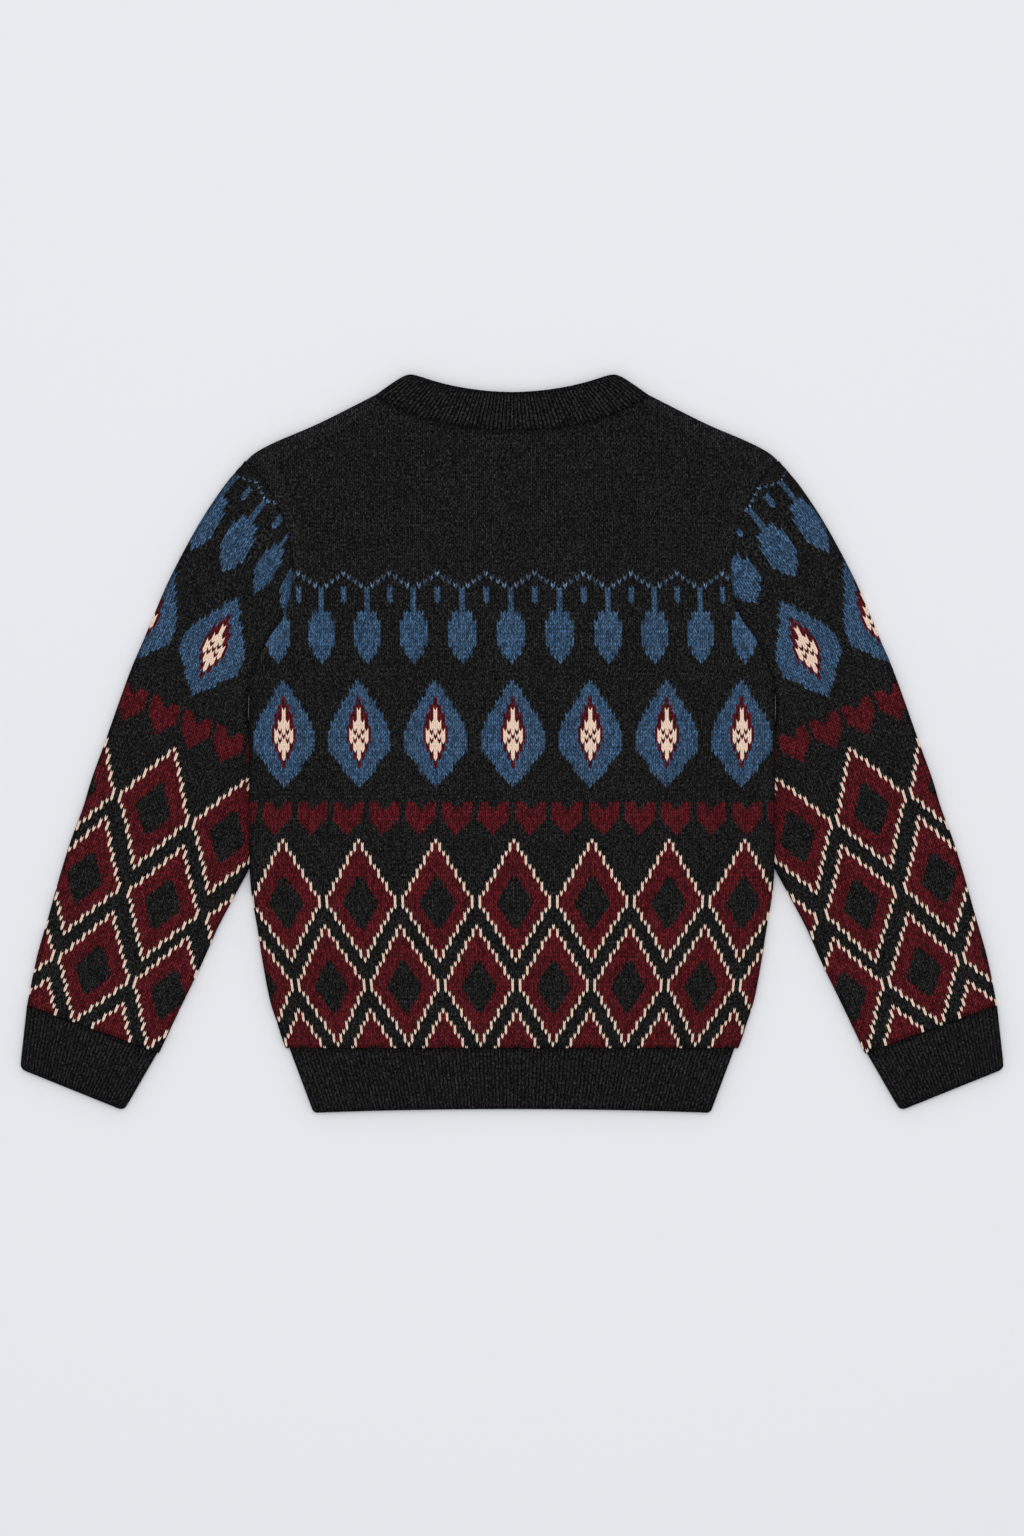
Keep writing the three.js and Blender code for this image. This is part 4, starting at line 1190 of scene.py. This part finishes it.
def neck_curve(heights, half):
    """A line of points from side to side, closer together towards its ends."""
    share = np.sin(np.linspace(-0.5, 0.5, CURVE_POINTS) * np.pi)
    return np.stack([share * half, heights(share)], axis=-1)


def full_corners(spot, up):
    """The places on the neckband, bulged out on both sides of its corners."""
    reach, bulge = BAND_FULLNESS
    away = np.hypot(np.abs(spot[..., 0]) - BAND_HALF, spot[..., 1] - LENGTH) / reach
    lift = bulge * away * np.exp(1.0 - away) * smoothstep(up[..., 0], 0.0, FULL_FROM)
    return spot[..., 0], spot[..., 1] + lift


class Neckband(bpy.types.Operator):
    """Build the ribbed neckband, whose back half lies over its front half"""

    bl_idname = "pullover.neckband"
    bl_label = "Neckband"

    def execute(self, context):
        sizes, colours = context.scene.pullover_sizes, context.scene.pullover_colours
        wall, rib_height = sizes.wall / MM, sizes.rib_height / MM
        finishes = [ensure_finish("Neck ribbing", ribbed_knit, colours, NECKBAND_PAINTED_SHADE)]
        steps = RIB_POINTS * sizes.neck_ribs
        radius = FOLD_STEPS[-1]
        near = np.array(FOLD_STEPS) / BAND_LENGTH
        inner_near = (wall + INSIDE_FOLD * np.array(FOLD_STEPS)) / BAND_LENGTH
        share = fold_to_fold(near, near, 1.0, steps)
        inner_share = fold_to_fold(inner_near, inner_near, 1.0, steps)
        count = np.clip((share - near[-1]) / (1.0 - 2.0 * near[-1]), 0.0, 1.0) * sizes.neck_ribs
        from_fold = np.minimum(share, 1.0 - share) * BAND_LENGTH
        away = rows_between(np.linspace(*BAND_ROWS), BAND_HEIGHT)
        away[: len(ROUND_STEPS)] += SEWN_OUT
        up = (away / BAND_HEIGHT)[:, None, None]
        at_fold = np.zeros(len(share), bool)
        at_fold[[0, -1]] = True
        fold_dip = edge_drop(from_fold, radius, radius)
        dip = rib_dip(away - SEWN_OUT, BAND_HEIGHT - away, wall)[:, None]
        dip = np.where(at_fold, fold_dip, np.maximum(fold_dip, dip))
        calm = smoothstep(from_fold, CALM_EDGE, radius)
        relief, crest = rib_relief(count, rib_height, calm)
        layers = []
        for name, seam_line, top_line in (
            ("back", back_neck_line, back_band_line), ("front", front_neck_line, front_band_line),
        ):
            seam, top = neck_curve(seam_line, NECK_HALF), neck_curve(top_line, BAND_HALF)
            heights = half_heights(name, wall, dip, relief, crest)
            layer = []
            for shares, height in zip((share, inner_share), heights):
                spot = along_line(seam, shares) * (1 - up) + along_line(top, shares) * up
                layer.append(grid_of(*full_corners(spot, up), np.where(at_fold, radius, height)))
            layers.append(layer)
        face, inside = (there_and_back(*pair) for pair in zip(*layers))
        counts = there_and_back(count[None, :], count[None, :])
        stitches = grid_of(counts, (away / COURSE)[:, None])
        from_side = there_and_back(from_fold[None, :], from_fold[None, :])
        from_end = np.minimum(away, BAND_HEIGHT - away)[:, None]
        distances = {"From edge": np.minimum(from_side, from_end)}
        piece = build_wall("neckband_rib", face, inside, stitches, distances, finishes, 0)
        place_piece(piece, "neckband")
        return {"FINISHED"}


# ---------------------------------------------------------------- stage


class Stage(bpy.types.Operator):
    """Build the floor, the soft light and the camera straight above"""

    bl_idname = "pullover.stage"
    bl_label = "Stage"

    def execute(self, context):
        stage = context.scene.pullover_stage
        bpy.ops.object.select_all(action="DESELECT")
        bpy.ops.mesh.primitive_plane_add(size=FLOOR_SIZE, location=(0.0, 0.0, 0.0))
        floor = context.view_layer.objects.active
        floor.name = floor.data.name = "floor"
        for vertex in floor.data.vertices:
            vertex.co.z = FLOOR_LEVEL
        finish = Finish("Pale floor")
        spot = finish.node("ShaderNodeTexCoord").outputs["Object"]
        mottle = 0.03 * finish.noise(spot, 900.0)
        darker = (*(0.9 * part for part in stage.floor), 1.0)
        colour = finish.blend(mottle, (*stage.floor, 1.0), darker)
        finish.feed(finish.shader.inputs["Base Color"], colour)
        finish.set_constants(FLOOR_SURFACE)
        floor.data.materials.append(finish.material)

        world = bpy.data.worlds.new("Even light")
        world.use_nodes = True
        background = world.node_tree.nodes["Background"]
        background.inputs["Color"].default_value = (0.97, 0.98, 1.0, 1.0)
        background.inputs["Strength"].default_value = stage.fill
        context.scene.world = world

        lamp = bpy.data.lights.new("softbox", "AREA")
        lamp.shape = "RECTANGLE"
        lamp.size, lamp.size_y = LAMP_SIZE
        lamp.energy = stage.softbox
        softbox = bpy.data.objects.new("softbox", lamp)
        softbox.location = LAMP_PLACE
        softbox.rotation_euler = (math.radians(LAMP_TILT), 0.0, 0.0)
        context.scene.collection.objects.link(softbox)

        view = bpy.data.cameras.new("camera")
        view.lens, view.sensor_width = LENS, SENSOR
        view.clip_start, view.clip_end = 0.1, 50.0
        camera = bpy.data.objects.new("camera", view)
        camera.location = (0.0, VIEW_MIDDLE, VIEW_HEIGHT * LENS / SENSOR + CLOTH_LEVEL)
        context.scene.collection.objects.link(camera)
        context.scene.camera = camera
        context.scene.view_settings.view_transform = "Standard"
        return {"FINISHED"}


class PulloverPanel(bpy.types.Panel):
    """Lists the settings and the pieces in the sidebar"""

    bl_idname = "VIEW3D_PT_pullover"
    bl_label = "Pullover"
    bl_space_type = "VIEW_3D"
    bl_region_type = "UI"
    bl_category = "Pullover"

    def draw(self, context):
        layout = self.layout
        for group in GROUPS:
            settings = getattr(context.scene, group)
            box = layout.box()
            for name in settings.__annotations__:
                box.prop(settings, name)
        for operator in OPERATORS:
            layout.operator(operator.bl_idname)


GROUPS = {
    "pullover_sizes": PulloverSizes,
    "pullover_colours": PulloverColours,
    "pullover_stage": PulloverStage,
}
OPERATORS = (BodyPanels, Sleeves, Cuffs, Hem, Neckband, Stage)


def register():
    for group in GROUPS.values():
        bpy.utils.register_class(group)
    for name, group in GROUPS.items():
        setattr(bpy.types.Scene, name, bpy.props.PointerProperty(type=group))
    for operator in OPERATORS:
        bpy.utils.register_class(operator)
    bpy.utils.register_class(PulloverPanel)


def unregister():
    bpy.utils.unregister_class(PulloverPanel)
    for operator in reversed(OPERATORS):
        bpy.utils.unregister_class(operator)
    for name, group in GROUPS.items():
        delattr(bpy.types.Scene, name)
        bpy.utils.unregister_class(group)


def main():
    register()
    bpy.ops.object.select_all(action="DESELECT")
    bpy.ops.pullover.body_panels()
    bpy.ops.pullover.sleeves()
    bpy.ops.pullover.cuffs()
    bpy.ops.pullover.hem()
    bpy.ops.pullover.neckband()
    bpy.ops.pullover.stage()


if __name__ == "__main__":
    main()
